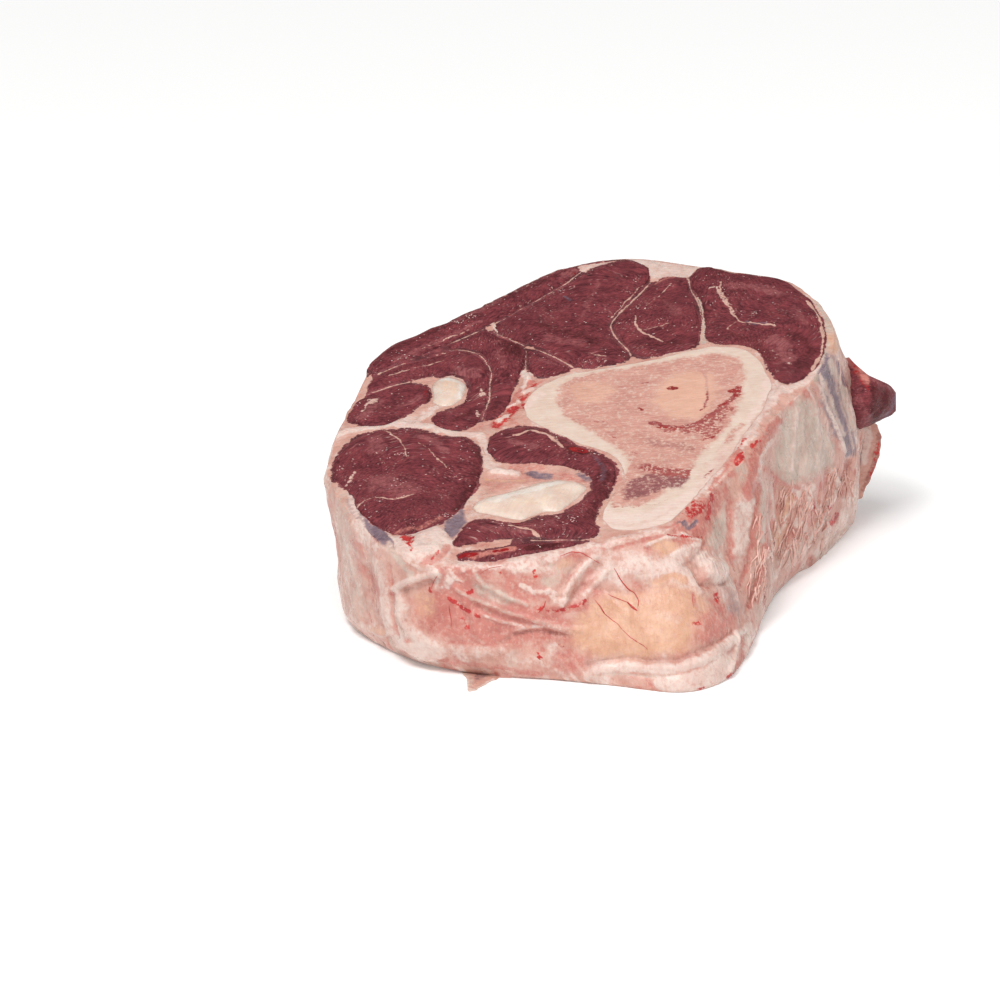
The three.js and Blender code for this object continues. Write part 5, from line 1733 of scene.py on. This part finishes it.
def side_looks(side: Points, normals: Points, bearing: Points,
               share: Points) -> tuple[Canvas, Points]:
    """What the outer side shows, and how far each of its points is raised, in mm."""
    seen = Canvas(FrontView.project(side), tuple(FAT_FINISH.layers), FrontView.UNIT, 70)
    seen.reach = smoothstep(0.02, 0.22, FrontView.facing(side, normals))
    hidden = 1.0 - seen.reach
    everywhere = np.arange(len(side))
    scatter(seen, side, HIDDEN_MOTTLES, 0.55, (0.8, 0.8, 2.4), 0.3 + 0.7 * hidden)
    streaks = smoothstep(0.1, 0.6, fractal(side, (2.4, 2.4, 26.0), 27)) * hidden
    seen.lay(T.PINK, everywhere, 0.45 * streaks)
    strings = smoothstep(0.2, 0.6, fractal(side, (1.6, 1.6, 18.0), 29)) * hidden
    seen.lay(T.WHITE, everywhere, 0.8 * strings)
    rim_low = 0.975 + 0.008 * fractal(side, (14.0, 14.0, 60.0), 28)
    rim_lean = smoothstep(rim_low, rim_low + 0.015, share) * smoothstep(*RIM_LEAN[0], bearing)
    seen.lay(T.LEAN, everywhere, rim_lean * (1.0 - smoothstep(*RIM_LEAN[1], bearing)))
    scatter(seen, side, FINE_MOTTLES, 0.35, (1.0, 1.0, 1.0), 1.0 - 0.5 * hidden)
    relief, folds = side_relief(side, bearing, share)
    seen.lay(T.WHITE, everywhere, 0.75 * smoothstep(0.2, 1.0, folds))
    seen.lay(T.PINK, everywhere, (0.6 - 0.25 * hidden) * smoothstep(-0.05, -0.7, folds))
    seen.paint(FRONT_MARKS)
    drawn = smoothstep(0.2, 0.8, seen.reach)
    ends = smoothstep(0.0, 0.05, share) * smoothstep(0.0, 0.05, 1.0 - share)
    return seen, (relief * (1.0 - 0.3 * drawn) + seen.height) * (0.15 + 0.85 * ends)


def cut_looks(form: Slice, ground: Points, rim: Points,
              seams: Sequence[Points]) -> tuple[Canvas, Points]:
    """What the cut fat shows, and how far each of its points is raised, in mm."""
    nearest, level = np.full(len(ground), 1e9), np.zeros(len(ground))
    from_muscle, second = nearest.copy(), nearest.copy()
    for section in SECTIONS:
        gap = distance_to(ground, form.outlines[section.node], True)
        closer = gap < nearest
        nearest[closer], level[closer] = gap[closer], section.edge
        if section.slot == "muscle":
            second = np.minimum(second, np.maximum(from_muscle, gap))
            from_muscle = np.minimum(from_muscle, gap)
    from_rim = distance_to(ground, rim[:, :2], True)
    layers = tuple(FAT_FINISH.layers)
    cut = Canvas(ground - SHIN_AXIS, layers, 1.0, 80)
    scatter(cut, ground, CUT_MOTTLES, 0.4, (1.0, 1.0))
    bleed = SEAM_BLEED + 0.5 * noise(ground, 3.0, 45) + 0.3 * noise(ground, 9.0, 46)
    bleed += 2.2 * (1.0 - smoothstep(0.8 * SEAM_WIDEST, 1.1 * SEAM_WIDEST, from_muscle + second))
    cut.lay(T.LEAN, np.arange(len(ground)), np.clip(0.5 - 0.6 * (from_muscle - bleed), 0, 1))
    for path in seams:
        places = path - SHIN_AXIS
        cut.draw(places, 0.12 + 0.22 * noise(places, 6.0, 47) + 0.12 * noise(places, 1.6, 48))
    cut.paint(CUT_FAT_MARKS)
    front = Canvas(FrontView.project(form.lifted(ground, 0.0)), layers, FrontView.UNIT, 70)
    front.masks = cut.masks
    front.paint(FRONT_MARKS)
    cut.height += front.height
    level = level * np.exp(-nearest / 1.0) + (1 - np.exp(-nearest / 1.0)) * (
        -0.2 + 0.9 * fractal(ground, 6.0, 44) * smoothstep(1.0, 4.0, nearest) + cut.height)
    return cut, level - FAT_DROP * np.exp(-from_rim / 2.0)


def soften_rim(made: bpy.types.Object, count: int) -> None:
    """Takes the sharp edges off the rim, whose points come first in the mesh."""
    ends = np.empty(2 * len(made.data.edges), dtype=np.int32)
    made.data.edges.foreach_get("vertices", ends)
    along_rim = (ends.reshape(-1, 2) < count).all(1)
    sharp = made.data.attributes["sharp_edge"].data
    state = np.empty(len(along_rim), dtype=bool)
    sharp.foreach_get("value", state)
    sharp.foreach_set("value", state & ~along_rim)


def jacket_piece(form: Slice, material: bpy.types.Material) -> bpy.types.Object:
    """Makes the fat and connective tissue that holds the other pieces."""
    side, bearing, share = form.wall.grid()
    columns = len(side) // (SIDE_ROWS + 1)
    normals = grid_normals(side, columns)
    seen, rise = side_looks(side, normals, bearing, share)
    side = side + normals * rise[:, None]
    away = side[:, :2] - SHIN_AXIS
    short = np.maximum(form.wall.least(bearing, share) / np.hypot(*away.T), 1.0)
    side[:, :2] = SHIN_AXIS + away * short[:, None]
    side[:, 2] = np.maximum(side[:, 2], SIDE_LOWEST)
    rim, foot = side[:columns], side[-columns:]

    loops = [form.outlines[s.node] for s in SECTIONS]
    feet = [form.foot_of(loop) for loop in loops]
    parts = MeshParts()
    rim_row = parts.add_points(rim, rim[:, :2])
    hole_rows = [parts.add_points(form.lifted(loop, edge_level(s, loop)), loop)
                 for s, loop in zip(SECTIONS, loops)]
    seams = seam_paths([loop for s, loop in zip(SECTIONS, loops) if s.slot == "muscle"])
    ground, triangles = fill(rim[:, :2], loops, FAT_SPACING, 6, seams)
    cut, level = cut_looks(form, ground, rim, seams)
    inner = parts.add_points(form.lifted(ground, level), ground)
    parts.add_faces(triangles)

    spans = [slice(start, start + columns) for start in range(0, len(side), columns)]
    rows = [rim_row, *(parts.add_points(side[span], side[span, :2]) for span in spans[1:])]
    for upper, lower in zip(rows[:-1], rows[1:]):
        parts.add_band(upper, lower)
    foot_holes = [parts.add_points(np.column_stack([f, np.full(len(f), FOOT_EDGE)]), loop)
                  for f, loop in zip(feet, loops)]
    under, under_triangles = fill(foot[:, :2], feet, UNDER_SPACING, 7)
    flat = 0.15 + 0.12 * fractal(under, 8.0, 32, 2)
    under_row = parts.add_points(np.column_stack([under, flat]), form.head_of(under))
    numbers = np.concatenate([rows[-1], *foot_holes, under_row])
    parts.add_faces(numbers[under_triangles[:, ::-1]])
    for upper, lower in zip(hole_rows, foot_holes):
        parts.add_band(upper[::-1], lower[::-1])

    whole = Canvas(np.vstack(parts.places) - SHIN_AXIS, tuple(FAT_FINISH.layers), 1.0, 80)
    whole.paint(CUT_FAT_MARKS)
    whole.lay(T.LEAN, np.concatenate([row for row, s in zip(hole_rows, SECTIONS)
                                      if s.slot == "muscle"]), 1.0)
    whole.seam[:] = SEAM_FAR
    whole.seam[inner] = cut.seam
    for tissue, mask in whole.masks.items():
        mask[np.concatenate(rows)] = seen.masks[tissue]
        mask[inner] = cut.masks[tissue]
    fibres = np.vstack(parts.points)
    fibres[np.concatenate(rows)] = np.column_stack(
        [side[:, 2], AROUND * np.cos(bearing), AROUND * np.sin(bearing)])
    made = parts.build("fat_jacket_looks", material, whole, fibres, len(triangles))
    soften_rim(made, columns)
    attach(made, "root")
    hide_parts("fat_jacket")
    return made


# ---------------------------------------------------------------------------------------------
# The side tongue
# ---------------------------------------------------------------------------------------------


# The tongue's upper edge, its right end and what it shows, as they appear in the front view.
TONGUE_TOP = ((843, 854, 868, 888, 896), (350, 363, 375, 384, 390))
TONGUE_RIGHT = 896.0
TONGUE_MARKS = (
    area(T.DARK, 1.5, 0.6, 1.5, 0.0, (871, 384), (890, 390), (892, 406), (882, 424), (870, 428)),
    line(T.PINK, 1.8, 0.8, 0.8, 0.0, (845, 354), (856, 366), (867, 382)),
    line(T.BLOOD, 1.4, 0.6, 1.2, 0.0, (850, 360), (860, 374), (868, 388)),
    line(T.PINK, 1.0, 0.9, 0.4, 0.0, (862, 376), (870, 379)),
    # painted sheen along the tongue's upper edge
    line(T.PALE, 1.0, 0.8, 0.5, 0.0, (872, 379), (884, 385), (894, 390)),
    line(T.LILAC, 0.8, 0.7, 0.6, 0.0, (896, 396), (892, 408), (884, 421), (876, 430)),
    line(T.PALE, 2.5, 0.5, 1.2, 0.0, (858, 400), (866, 418)),
)
TONGUE_MARGIN = 0.5  # how far the tongue may reach past the CAD's box


def tongue_piece(material: bpy.types.Material) -> bpy.types.Object:
    """Makes the tongue of muscle that sticks out of the back right side."""
    low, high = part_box("muscle_side_tongue")
    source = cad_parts["muscle_side_tongue"]
    bm = bmesh.new()
    bm.from_mesh(source.data)
    bmesh.ops.remove_doubles(bm, verts=bm.verts, dist=1e-6)
    bmesh.ops.subdivide_edges(bm, edges=bm.edges, cuts=3, use_grid_fill=True, smooth=1.0)
    bm.normal_update()
    points = np.array([v.co for v in bm.verts]) / MM
    normals = np.array([v.normal for v in bm.verts])
    faces = np.array([[v.index for v in f.verts] for f in bmesh.ops.triangulate(
        bm, faces=bm.faces)["faces"]])
    bm.free()
    relief = 0.7 * fractal(points, 9.0, 51) + 0.4 * fractal(points, 3.0, 52)
    points = points + normals * relief[:, None]
    across, down = FrontView.project(points).T
    over = np.maximum(np.interp(across, *TONGUE_TOP) - down, 0.0)
    points[:, 2] -= over / FrontView.UNIT / math.cos(FrontView.PITCH)
    points[:, 0] -= np.maximum(across - TONGUE_RIGHT, 0.0) / FrontView.UNIT
    points = np.clip(points, np.array(low) / MM - TONGUE_MARGIN, np.array(high) / MM + TONGUE_MARGIN)
    parts = MeshParts()
    parts.add_points(points, points[:, :2])
    parts.add_faces(faces)
    canvas = Canvas(FrontView.project(points), tuple(LEAN_FINISH.layers), FrontView.UNIT, 90)
    canvas.paint(TONGUE_MARKS)
    made = parts.build("muscle_side_tongue_looks", material, canvas, points)
    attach(made, "root")
    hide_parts("muscle_side_tongue")
    return made


# ---------------------------------------------------------------------------------------------
# Thin flaps of membrane
# ---------------------------------------------------------------------------------------------


FLAP_COLUMNS, FLAP_ROWS = 42, 14  # points along and across a flap


@dataclass(frozen=True)
class Flap:
    """A thin sheet between two edges that have the same number of corners.

    Attributes:
        name: the piece's name.
        inner: the edge that hangs on the slice, in the front view.
        outer: the free edge, in the front view.
        thickness: in mm.
        waves: how far it waves, in mm.
        marks: what it shows, in the front view.
    """

    name: str
    inner: tuple[Pair, ...]
    outer: tuple[Pair, ...]
    thickness: float
    waves: float
    marks: tuple[Mark, ...]


FLOOR_FLAP = Flap(
    "membrane_flap_looks",
    ((436, 655), (448, 658), (458, 660), (468, 662), (478, 664), (492, 665), (508, 667), (522, 669)),
    ((437, 663), (450, 668), (460, 671), (467, 678), (468, 691), (477, 691), (492, 681), (514, 673)),
    0.5, 0.35, (
        line(T.GREY, 1.5, 0.7, 0.8, 0.0, (448, 664), (462, 670), (470, 684)),
        line(T.PINK, 2.0, 0.8, 1.0, 0.0, (470, 668), (490, 672), (506, 672)),
        line(T.WHITE, 0.8, 0.9, 0.4, 0.0, (467, 678), (468, 691), (477, 691), (492, 681)),
        line(T.LILAC, 1.5, 0.5, 0.8, 0.0, (476, 680), (484, 676)),
    ))
SIDE_FLAP = Flap(
    "membrane_strip_looks",
    ((854, 415), (854, 430), (853, 444), (853, 458), (852, 472), (851, 486), (850, 500)),
    ((877, 424), (881, 437), (880, 450), (877, 461), (873, 472), (867, 485), (861, 497)),
    1.4, 0.8, (
        line(T.WHITE, 2.2, 0.9, 0.8, 0.0, (866, 424), (867, 440), (863, 458)),
        line(T.LILAC, 1.2, 0.7, 0.8, 0.0, (858, 424), (860, 445), (857, 470)),
        # painted shade along the flap's free edge
        line(T.HOLLOW, 1.6, 1.0, 0.6, 0.0, (879, 436), (878, 450), (874, 464), (869, 478), (863, 488)),
        line(T.BLOOD, 0.7, 0.6, 0.8, 0.0, (878, 442), (876, 456), (871, 474)),
    ))


def flap_piece(flap: Flap, place: Callable[[Points], Points], facing: Points,
               material: bpy.types.Material) -> bpy.types.Object:
    """Makes a thin closed sheet.

    Args:
        flap: the sheet.
        place: turns places of the front view into points of the sheet's back.
        facing: direction from the sheet's back to its front.
        material: its material.

    Returns:
        The piece.
    """
    columns, rows = FLAP_COLUMNS, FLAP_ROWS
    where = np.linspace(0, len(flap.inner) - 1, columns)
    edges = [np.stack([np.interp(where, np.arange(len(edge)), np.array(edge)[:, i])
                       for i in (0, 1)], axis=1) for edge in (flap.inner, flap.outer)]
    share = np.linspace(0, 1, rows)[:, None, None]
    seen = (edges[0][None] * (1 - share) + edges[1][None] * share).reshape(-1, 2)
    depth = np.repeat(share.ravel(), columns)
    seen += 1.1 * depth[:, None] * sway(seen, 5.0, 71)
    back = place(seen)
    wave = flap.waves * (0.5 + 0.5 * fractal(back, 4.0, 73, 2)) * (0.3 + 0.7 * depth)
    front = back + facing * (wave + flap.thickness * (1.0 - 0.6 * depth))[:, None]
    back = back + facing * (0.6 * wave)[:, None]
    grid = np.arange(rows * columns).reshape(rows, columns)
    a, b, c, d = (grid[:-1, :-1].ravel(), grid[:-1, 1:].ravel(), grid[1:, 1:].ravel(),
                  grid[1:, :-1].ravel())
    parts = MeshParts()
    top = parts.add_points(front, seen)
    low = parts.add_points(back, seen)
    parts.add_faces(np.stack([a, d, c, b], axis=1))
    parts.add_faces(np.stack([a, b, c, d], axis=1) + low[0])
    ring = np.concatenate([grid[0], grid[1:, -1], grid[-1, -2::-1], grid[-2:0:-1, 0]])
    parts.add_band(top[ring], low[ring])
    canvas = Canvas(np.vstack(parts.places), tuple(FAT_FINISH.layers), FrontView.UNIT, 95)
    canvas.paint(flap.marks)
    made = parts.build(flap.name, material, canvas)
    bm = bmesh.new()
    bm.from_mesh(made.data)
    bmesh.ops.recalc_face_normals(bm, faces=bm.faces)
    bm.to_mesh(made.data)
    bm.free()
    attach(made, "root")
    return made


# ---------------------------------------------------------------------------------------------
# Vessels, frayed strands, and pale flecks that are partly fat and partly painted glints
# ---------------------------------------------------------------------------------------------


class ShapeTree:
    """A Geometry Nodes tree that turns a plain mesh into a piece."""

    def __init__(self, name: str, sizes: dict[str, float | int]) -> None:
        """
        Args:
            name: the tree's name.
            sizes: its inputs, in metres where they are lengths.
        """
        self.tree = bpy.data.node_groups.new(name, "GeometryNodeTree")
        self.sizes = sizes
        sockets = self.tree.interface
        sockets.new_socket("Geometry", in_out="INPUT", socket_type="NodeSocketGeometry")
        self.keys = {}
        for label, value in sizes.items():
            kind = "NodeSocketInt" if isinstance(value, int) else "NodeSocketFloat"
            self.keys[label] = sockets.new_socket(label, in_out="INPUT", socket_type=kind).identifier
        sockets.new_socket("Geometry", in_out="OUTPUT", socket_type="NodeSocketGeometry")
        self.graph = Graph(self.tree)
        self.given = self.graph.node("NodeGroupInput").outputs

    def field(self, name: str) -> bpy.types.NodeSocket:
        """A number that the plain mesh holds for each of its points."""
        return self.graph.node("GeometryNodeInputNamedAttribute", {"Name": name},
                               data_type="FLOAT").outputs[0]

    def end(self, geometry: bpy.types.NodeSocket, material: bpy.types.Material) -> None:
        """Ends the tree."""
        real = self.graph.node("GeometryNodeRealizeInstances", {0: geometry}).outputs[0]
        last = self.graph.node("GeometryNodeSetMaterial", {"Geometry": real, "Material": material})
        self.graph.node("NodeGroupOutput", {0: last.outputs[0]})

    def piece(self, name: str, source: bpy.types.Mesh, slot: str) -> bpy.types.Object:
        """Makes a piece from a plain mesh."""
        host = linked(name + "_source", source)
        modifier = host.modifiers.new("shape", "NODES")
        modifier.node_group = self.tree
        for label, value in self.sizes.items():
            modifier[self.keys[label]] = value
        depsgraph = bpy.context.evaluated_depsgraph_get()
        mesh = bpy.data.meshes.new_from_object(host.evaluated_get(depsgraph))
        host.modifiers.remove(modifier)
        bpy.data.objects.remove(host)
        mesh.name = name
        mesh.shade_smooth()
        made = linked(name, mesh)
        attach(made, "root")
        log.info("%s: %d faces", name, len(mesh.polygons))
        return made


def strand_tree(name: str, material: bpy.types.Material) -> ShapeTree:
    """A tree that gives lines a round section, as thick as their points say."""
    shape = ShapeTree(name, {"Spacing": 0.0004, "Sides": 6})
    graph = shape.graph
    curve = graph.node("GeometryNodeMeshToCurve", {0: shape.given["Geometry"]}).outputs[0]
    even = graph.node("GeometryNodeResampleCurve", {"Curve": curve, "Length": shape.given["Spacing"]},
                      mode="LENGTH").outputs[0]
    ring = graph.node("GeometryNodeCurvePrimitiveCircle", {"Resolution": shape.given["Sides"],
                                                           "Radius": 1.0}).outputs[0]
    tube = graph.node("GeometryNodeCurveToMesh", {"Curve": even, "Profile Curve": ring,
                                                  "Scale": shape.field("half"),
                                                  "Fill Caps": True}).outputs[0]
    shape.end(tube, material)
    return shape


def fleck_tree(material: bpy.types.Material) -> ShapeTree:
    """A tree that scatters small lumps over faces, as densely as their points say."""
    shape = ShapeTree("fat_flecks_and_glints", {"Density": 6.0e5, "Size": 0.00022, "Seed": 5})
    graph = shape.graph
    dense = graph.math("MULTIPLY", shape.field("crowd"), shape.given["Density"])
    points = graph.node("GeometryNodeDistributePointsOnFaces", {
        "Mesh": shape.given["Geometry"], "Density": dense, "Seed": shape.given["Seed"]})
    lump = graph.node("GeometryNodeMeshIcoSphere", {"Radius": shape.given["Size"],
                                                    "Subdivisions": 2}).outputs[0]
    chance = graph.node("FunctionNodeRandomValue", {0: (0.5, 0.4, 0.3), 1: (2.2, 1.1, 0.5),
                                                    "Seed": shape.given["Seed"]},
                        data_type="FLOAT_VECTOR").outputs[0]
    turned = graph.node("FunctionNodeRandomValue", {0: (-0.25, -0.25, 0.0), 1: (0.25, 0.25, 6.28)},
                        data_type="FLOAT_VECTOR").outputs[0]
    placed = graph.node("GeometryNodeInstanceOnPoints", {
        "Points": points.outputs["Points"], "Instance": lump, "Scale": chance,
        "Rotation": turned}).outputs[0]
    shape.end(placed, material)
    return shape


def lines_mesh(name: str, paths: Sequence[Points], halves: Sequence[Points]) -> bpy.types.Mesh:
    """A mesh of lines, whose points hold half the line's thickness."""
    edges, first = [], 0
    for path in paths:
        edges += [(first + i, first + i + 1) for i in range(len(path) - 1)]
        first += len(path)
    mesh = bpy.data.meshes.new(name)
    mesh.from_pydata((np.vstack(paths) * MM).tolist(), edges, [])
    set_field(mesh, "half", np.concatenate(halves) * MM)
    return mesh


def on_surface(tree: BVHTree, seen: Sequence[Pair], rise: float) -> Points:
    """Closely spaced points of a surface that a line of the front view passes over."""
    corners = np.array(seen, dtype=float)
    path = walked(corners, max(4, int(run_along(corners)[-1] / 1.2)))
    path += 0.7 * sway(path, 6.0, 75)
    found = []
    for way in FrontView.rays(path):
        hit, normal, _, _ = tree.ray_cast(Vector(FrontView.PLACE * MM), Vector(way))
        if hit is not None:
            found.append(np.array(hit + normal * rise * MM) / MM)
    return eased(np.array(found), 2)


def vessel_piece(jacket: bpy.types.Object, material: bpy.types.Material) -> bpy.types.Object:
    """Makes the blood vessels that lie on the outer side."""
    tree = BVHTree.FromObject(jacket, bpy.context.evaluated_depsgraph_get())
    paths, halves = [], []
    for half, *seen in VESSELS:
        path = on_surface(tree, seen, 0.25 * half)
        share = np.linspace(0, 1, len(path))
        paths.append(path)
        halves.append(half * (0.45 + 0.55 * np.sin(math.pi * share) ** 0.6)
                      * (1 + 0.25 * noise(path, 1.5, 77)))
    source = lines_mesh("vessel_lines", paths, halves)
    return strand_tree("vessels", material).piece("vessels_looks", source, "fat")


def fray_piece(jacket: bpy.types.Object, material: bpy.types.Material) -> bpy.types.Object:
    """Makes the frayed strands that hang low on the right."""
    tree = BVHTree.FromObject(jacket, bpy.context.evaluated_depsgraph_get())
    chance = np.random.default_rng(12)
    paths, halves = [], []
    for (x, y), reach_x, reach_y, count in FRAYS:
        for _ in range(count):
            start = np.array([x, y]) + chance.uniform(-1, 1, 2) * (reach_x, reach_y)
            lean, long = chance.uniform(-0.5, 0.15), chance.uniform(9, 24)
            end = start + np.array([lean, 1.0]) * long
            middle = (start + end) / 2 + chance.uniform(-2.5, 2.5, 2)
            path = on_surface(tree, (tuple(start), tuple(middle), tuple(end)), 0.1)
            if len(path) < 5 or np.linalg.norm(np.diff(path, axis=0), axis=1).max() > 3.0:
                continue
            share = np.linspace(0, 1, len(path))
            half = chance.uniform(0.16, 0.42)
            out = chance.uniform(0.0, 0.8) * share**2
            path = path + out[:, None] * np.array([0.35, -0.9, 0.0])
            paths.append(path)
            halves.append(half * (1.0 - 0.75 * share**2) * (1 + 0.3 * noise(path, 1.5, 79)))
    source = lines_mesh("fray_lines", paths, halves)
    return strand_tree("frays", material).piece("frayed_strands_looks", source, "fat")


def fleck_piece(muscles: Sequence[bpy.types.Object],
                material: bpy.types.Material) -> bpy.types.Object:
    """Makes the pale flecks that stand in clusters on the cut muscles, partly flecks of fat and partly
    painted glints.
    """
    points, faces, first = [], [], 0
    for muscle in muscles:
        mesh = muscle.data
        own = np.empty(3 * len(mesh.vertices), dtype=np.float32)
        mesh.vertices.foreach_get("co", own)
        own = own.reshape(-1, 3)
        corners = [tuple(p.vertices) for p in mesh.polygons
                   if p.normal.z > 0.7 and len(p.vertices) == 3 and p.center.z > 0.02]
        faces.append(np.array(corners) + first)
        points.append(own)
        first += len(own)
    every, triangles = np.vstack(points), np.vstack(faces)
    used, numbers = np.unique(triangles, return_inverse=True)
    places = every[used, :2] / MM
    clusters = smoothstep(0.22, 0.6, fractal(places, 9.0, 78))
    crowd = clusters * smoothstep(-0.1, 0.5, noise(places, 2.2, 88)) + 0.03
    mesh = bpy.data.meshes.new("fleck_ground")
    mesh.from_pydata(every[used].tolist(), [], numbers.reshape(-1, 3).tolist())
    set_field(mesh, "crowd", crowd)
    return fleck_tree(material).piece("fat_flecks_and_glints_looks", mesh, "muscle")


# ---------------------------------------------------------------------------------------------
# Studio
# ---------------------------------------------------------------------------------------------


FLOOR_REACH = 6.0  # metres from the part to the floor's edges
# The lamps: name, place and size in metres, and power in watts.
LAMPS = (("key", (-0.4, -0.9, 1.3), 0.5, 10.0), ("fill", (1.2, -0.9, 0.9), 0.8, 5.0))
LIT = Vector((0, 0, 0.04))  # where the lamps point
SUN_FROM, SUN_STRENGTH, SUN_WIDTH = Vector((-0.2, -0.4, 1.0)), 1.25, math.radians(35)
SENSOR = 36.0  # the camera's sensor, in mm


def make_floor() -> None:
    """Makes the pale floor."""
    mesh = bpy.data.meshes.new("floor")
    corners = [(FLOOR_REACH * x, FLOOR_REACH * y, 0) for x, y in ((-1, -1), (1, -1), (1, 1), (-1, 1))]
    mesh.from_pydata(corners, [], [(0, 1, 2, 3)])
    floor = linked("floor", mesh)
    pale = bpy.data.materials.new("pale_floor")
    pale.use_nodes = True
    shader = pale.node_tree.nodes["Principled BSDF"]
    shader.inputs["Base Color"].default_value = (0.93, 0.93, 0.93, 1.0)
    shader.inputs["Roughness"].default_value = 0.6
    shader.inputs["Emission Color"].default_value = (1.0, 1.0, 1.0, 1.0)
    shader.inputs["Emission Strength"].default_value = 0.14
    mesh.materials.append(pale)


def make_world() -> None:
    """Makes the surroundings, which are brighter above and in front, and white for the camera."""
    world = bpy.data.worlds.new("studio")
    world.use_nodes = True
    world.node_tree.nodes.clear()
    graph = Graph(world.node_tree)
    height = graph.node("ShaderNodeSeparateXYZ", {0: graph.node("ShaderNodeTexCoord").outputs[0]})
    glow = graph.ramp(height.outputs[2], -0.1, 0.9, 0.22, 0.75)
    front = graph.ramp(height.outputs[1], 0.9, -0.6, 0.35, 1.0)
    glow = graph.math("MULTIPLY", glow, front)
    seen = graph.node("ShaderNodeLightPath").outputs["Is Camera Ray"]
    strength = graph.math("MAXIMUM", seen, glow)
    light = graph.node("ShaderNodeBackground", {"Color": (1.0, 0.99, 0.98, 1.0),
                                                "Strength": strength})
    graph.node("ShaderNodeOutputWorld", {"Surface": light.outputs[0]})
    bpy.context.scene.world = world


def make_lights() -> None:
    """Makes the lamps and the sun."""
    for name, place, size, power in LAMPS:
        light = bpy.data.lights.new(name, "AREA")
        light.shape, light.size, light.energy = "DISK", size, power
        lamp = linked(name, light)
        lamp.location = place
        lamp.rotation_euler = (LIT - Vector(place)).to_track_quat("-Z", "Y").to_euler()
    sun = bpy.data.lights.new("sun", "SUN")
    sun.energy, sun.angle = SUN_STRENGTH, SUN_WIDTH
    linked("sun", sun).rotation_euler = SUN_FROM.to_track_quat("Z", "Y").to_euler()


def make_camera() -> None:
    """Makes the camera that took the photo."""
    data = bpy.data.cameras.new("camera")
    data.sensor_width = SENSOR
    data.lens = SENSOR * FrontView.LENS / FrontView.FRAME
    data.clip_start, data.clip_end = 0.1, 20.0
    camera = linked("camera", data)
    camera.location = FrontView.PLACE * MM
    camera.rotation_euler = (math.pi / 2 - FrontView.PITCH, 0, 0)
    bpy.context.scene.camera = camera


def studio() -> None:
    """Makes the floor, the lights, the surroundings and the camera."""
    bpy.context.scene.view_settings.view_transform = "Standard"
    make_floor()
    make_world()
    make_lights()
    make_camera()


def main() -> None:
    """Builds the slice's looks and the studio round it."""
    logging.basicConfig(level=logging.INFO, format="%(relativeCreated)7d %(message)s")
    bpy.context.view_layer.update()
    form = Slice()
    log.info("shapes read")
    paints = Paints()
    finishes = (LEAN_FINISH, BONE_FINISH, TENDON_FINISH, FAT_FINISH, VESSEL_FINISH, FRAY_FINISH,
                FLECK_GLINT_FINISH)
    materials = {finish.name: paints.material(finish) for finish in finishes}
    pieces = {s.node: section_piece(s, form, materials[s.finish.name]) for s in SECTIONS}
    fat = materials[FAT_FINISH.name]
    jacket = jacket_piece(form, fat)
    tongue_piece(materials[LEAN_FINISH.name])
    flap_piece(FLOOR_FLAP, FrontView.on_floor, np.array([0.0, 0.0, 1.0]), fat)
    depth = (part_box("muscle_side_tongue")[0][1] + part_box("muscle_side_tongue")[1][1]) / 2 / MM
    flap_piece(SIDE_FLAP, lambda seen: FrontView.at_depth(seen, depth), np.array([0.0, -1.0, 0.0]),
               fat)
    vessel_piece(jacket, materials[VESSEL_FINISH.name])
    fray_piece(jacket, materials[FRAY_FINISH.name])
    fleck_piece([pieces[s.node] for s in SECTIONS if s.slot == "muscle"],
                materials[FLECK_GLINT_FINISH.name])
    studio()


if __name__ == "__main__":
    main()
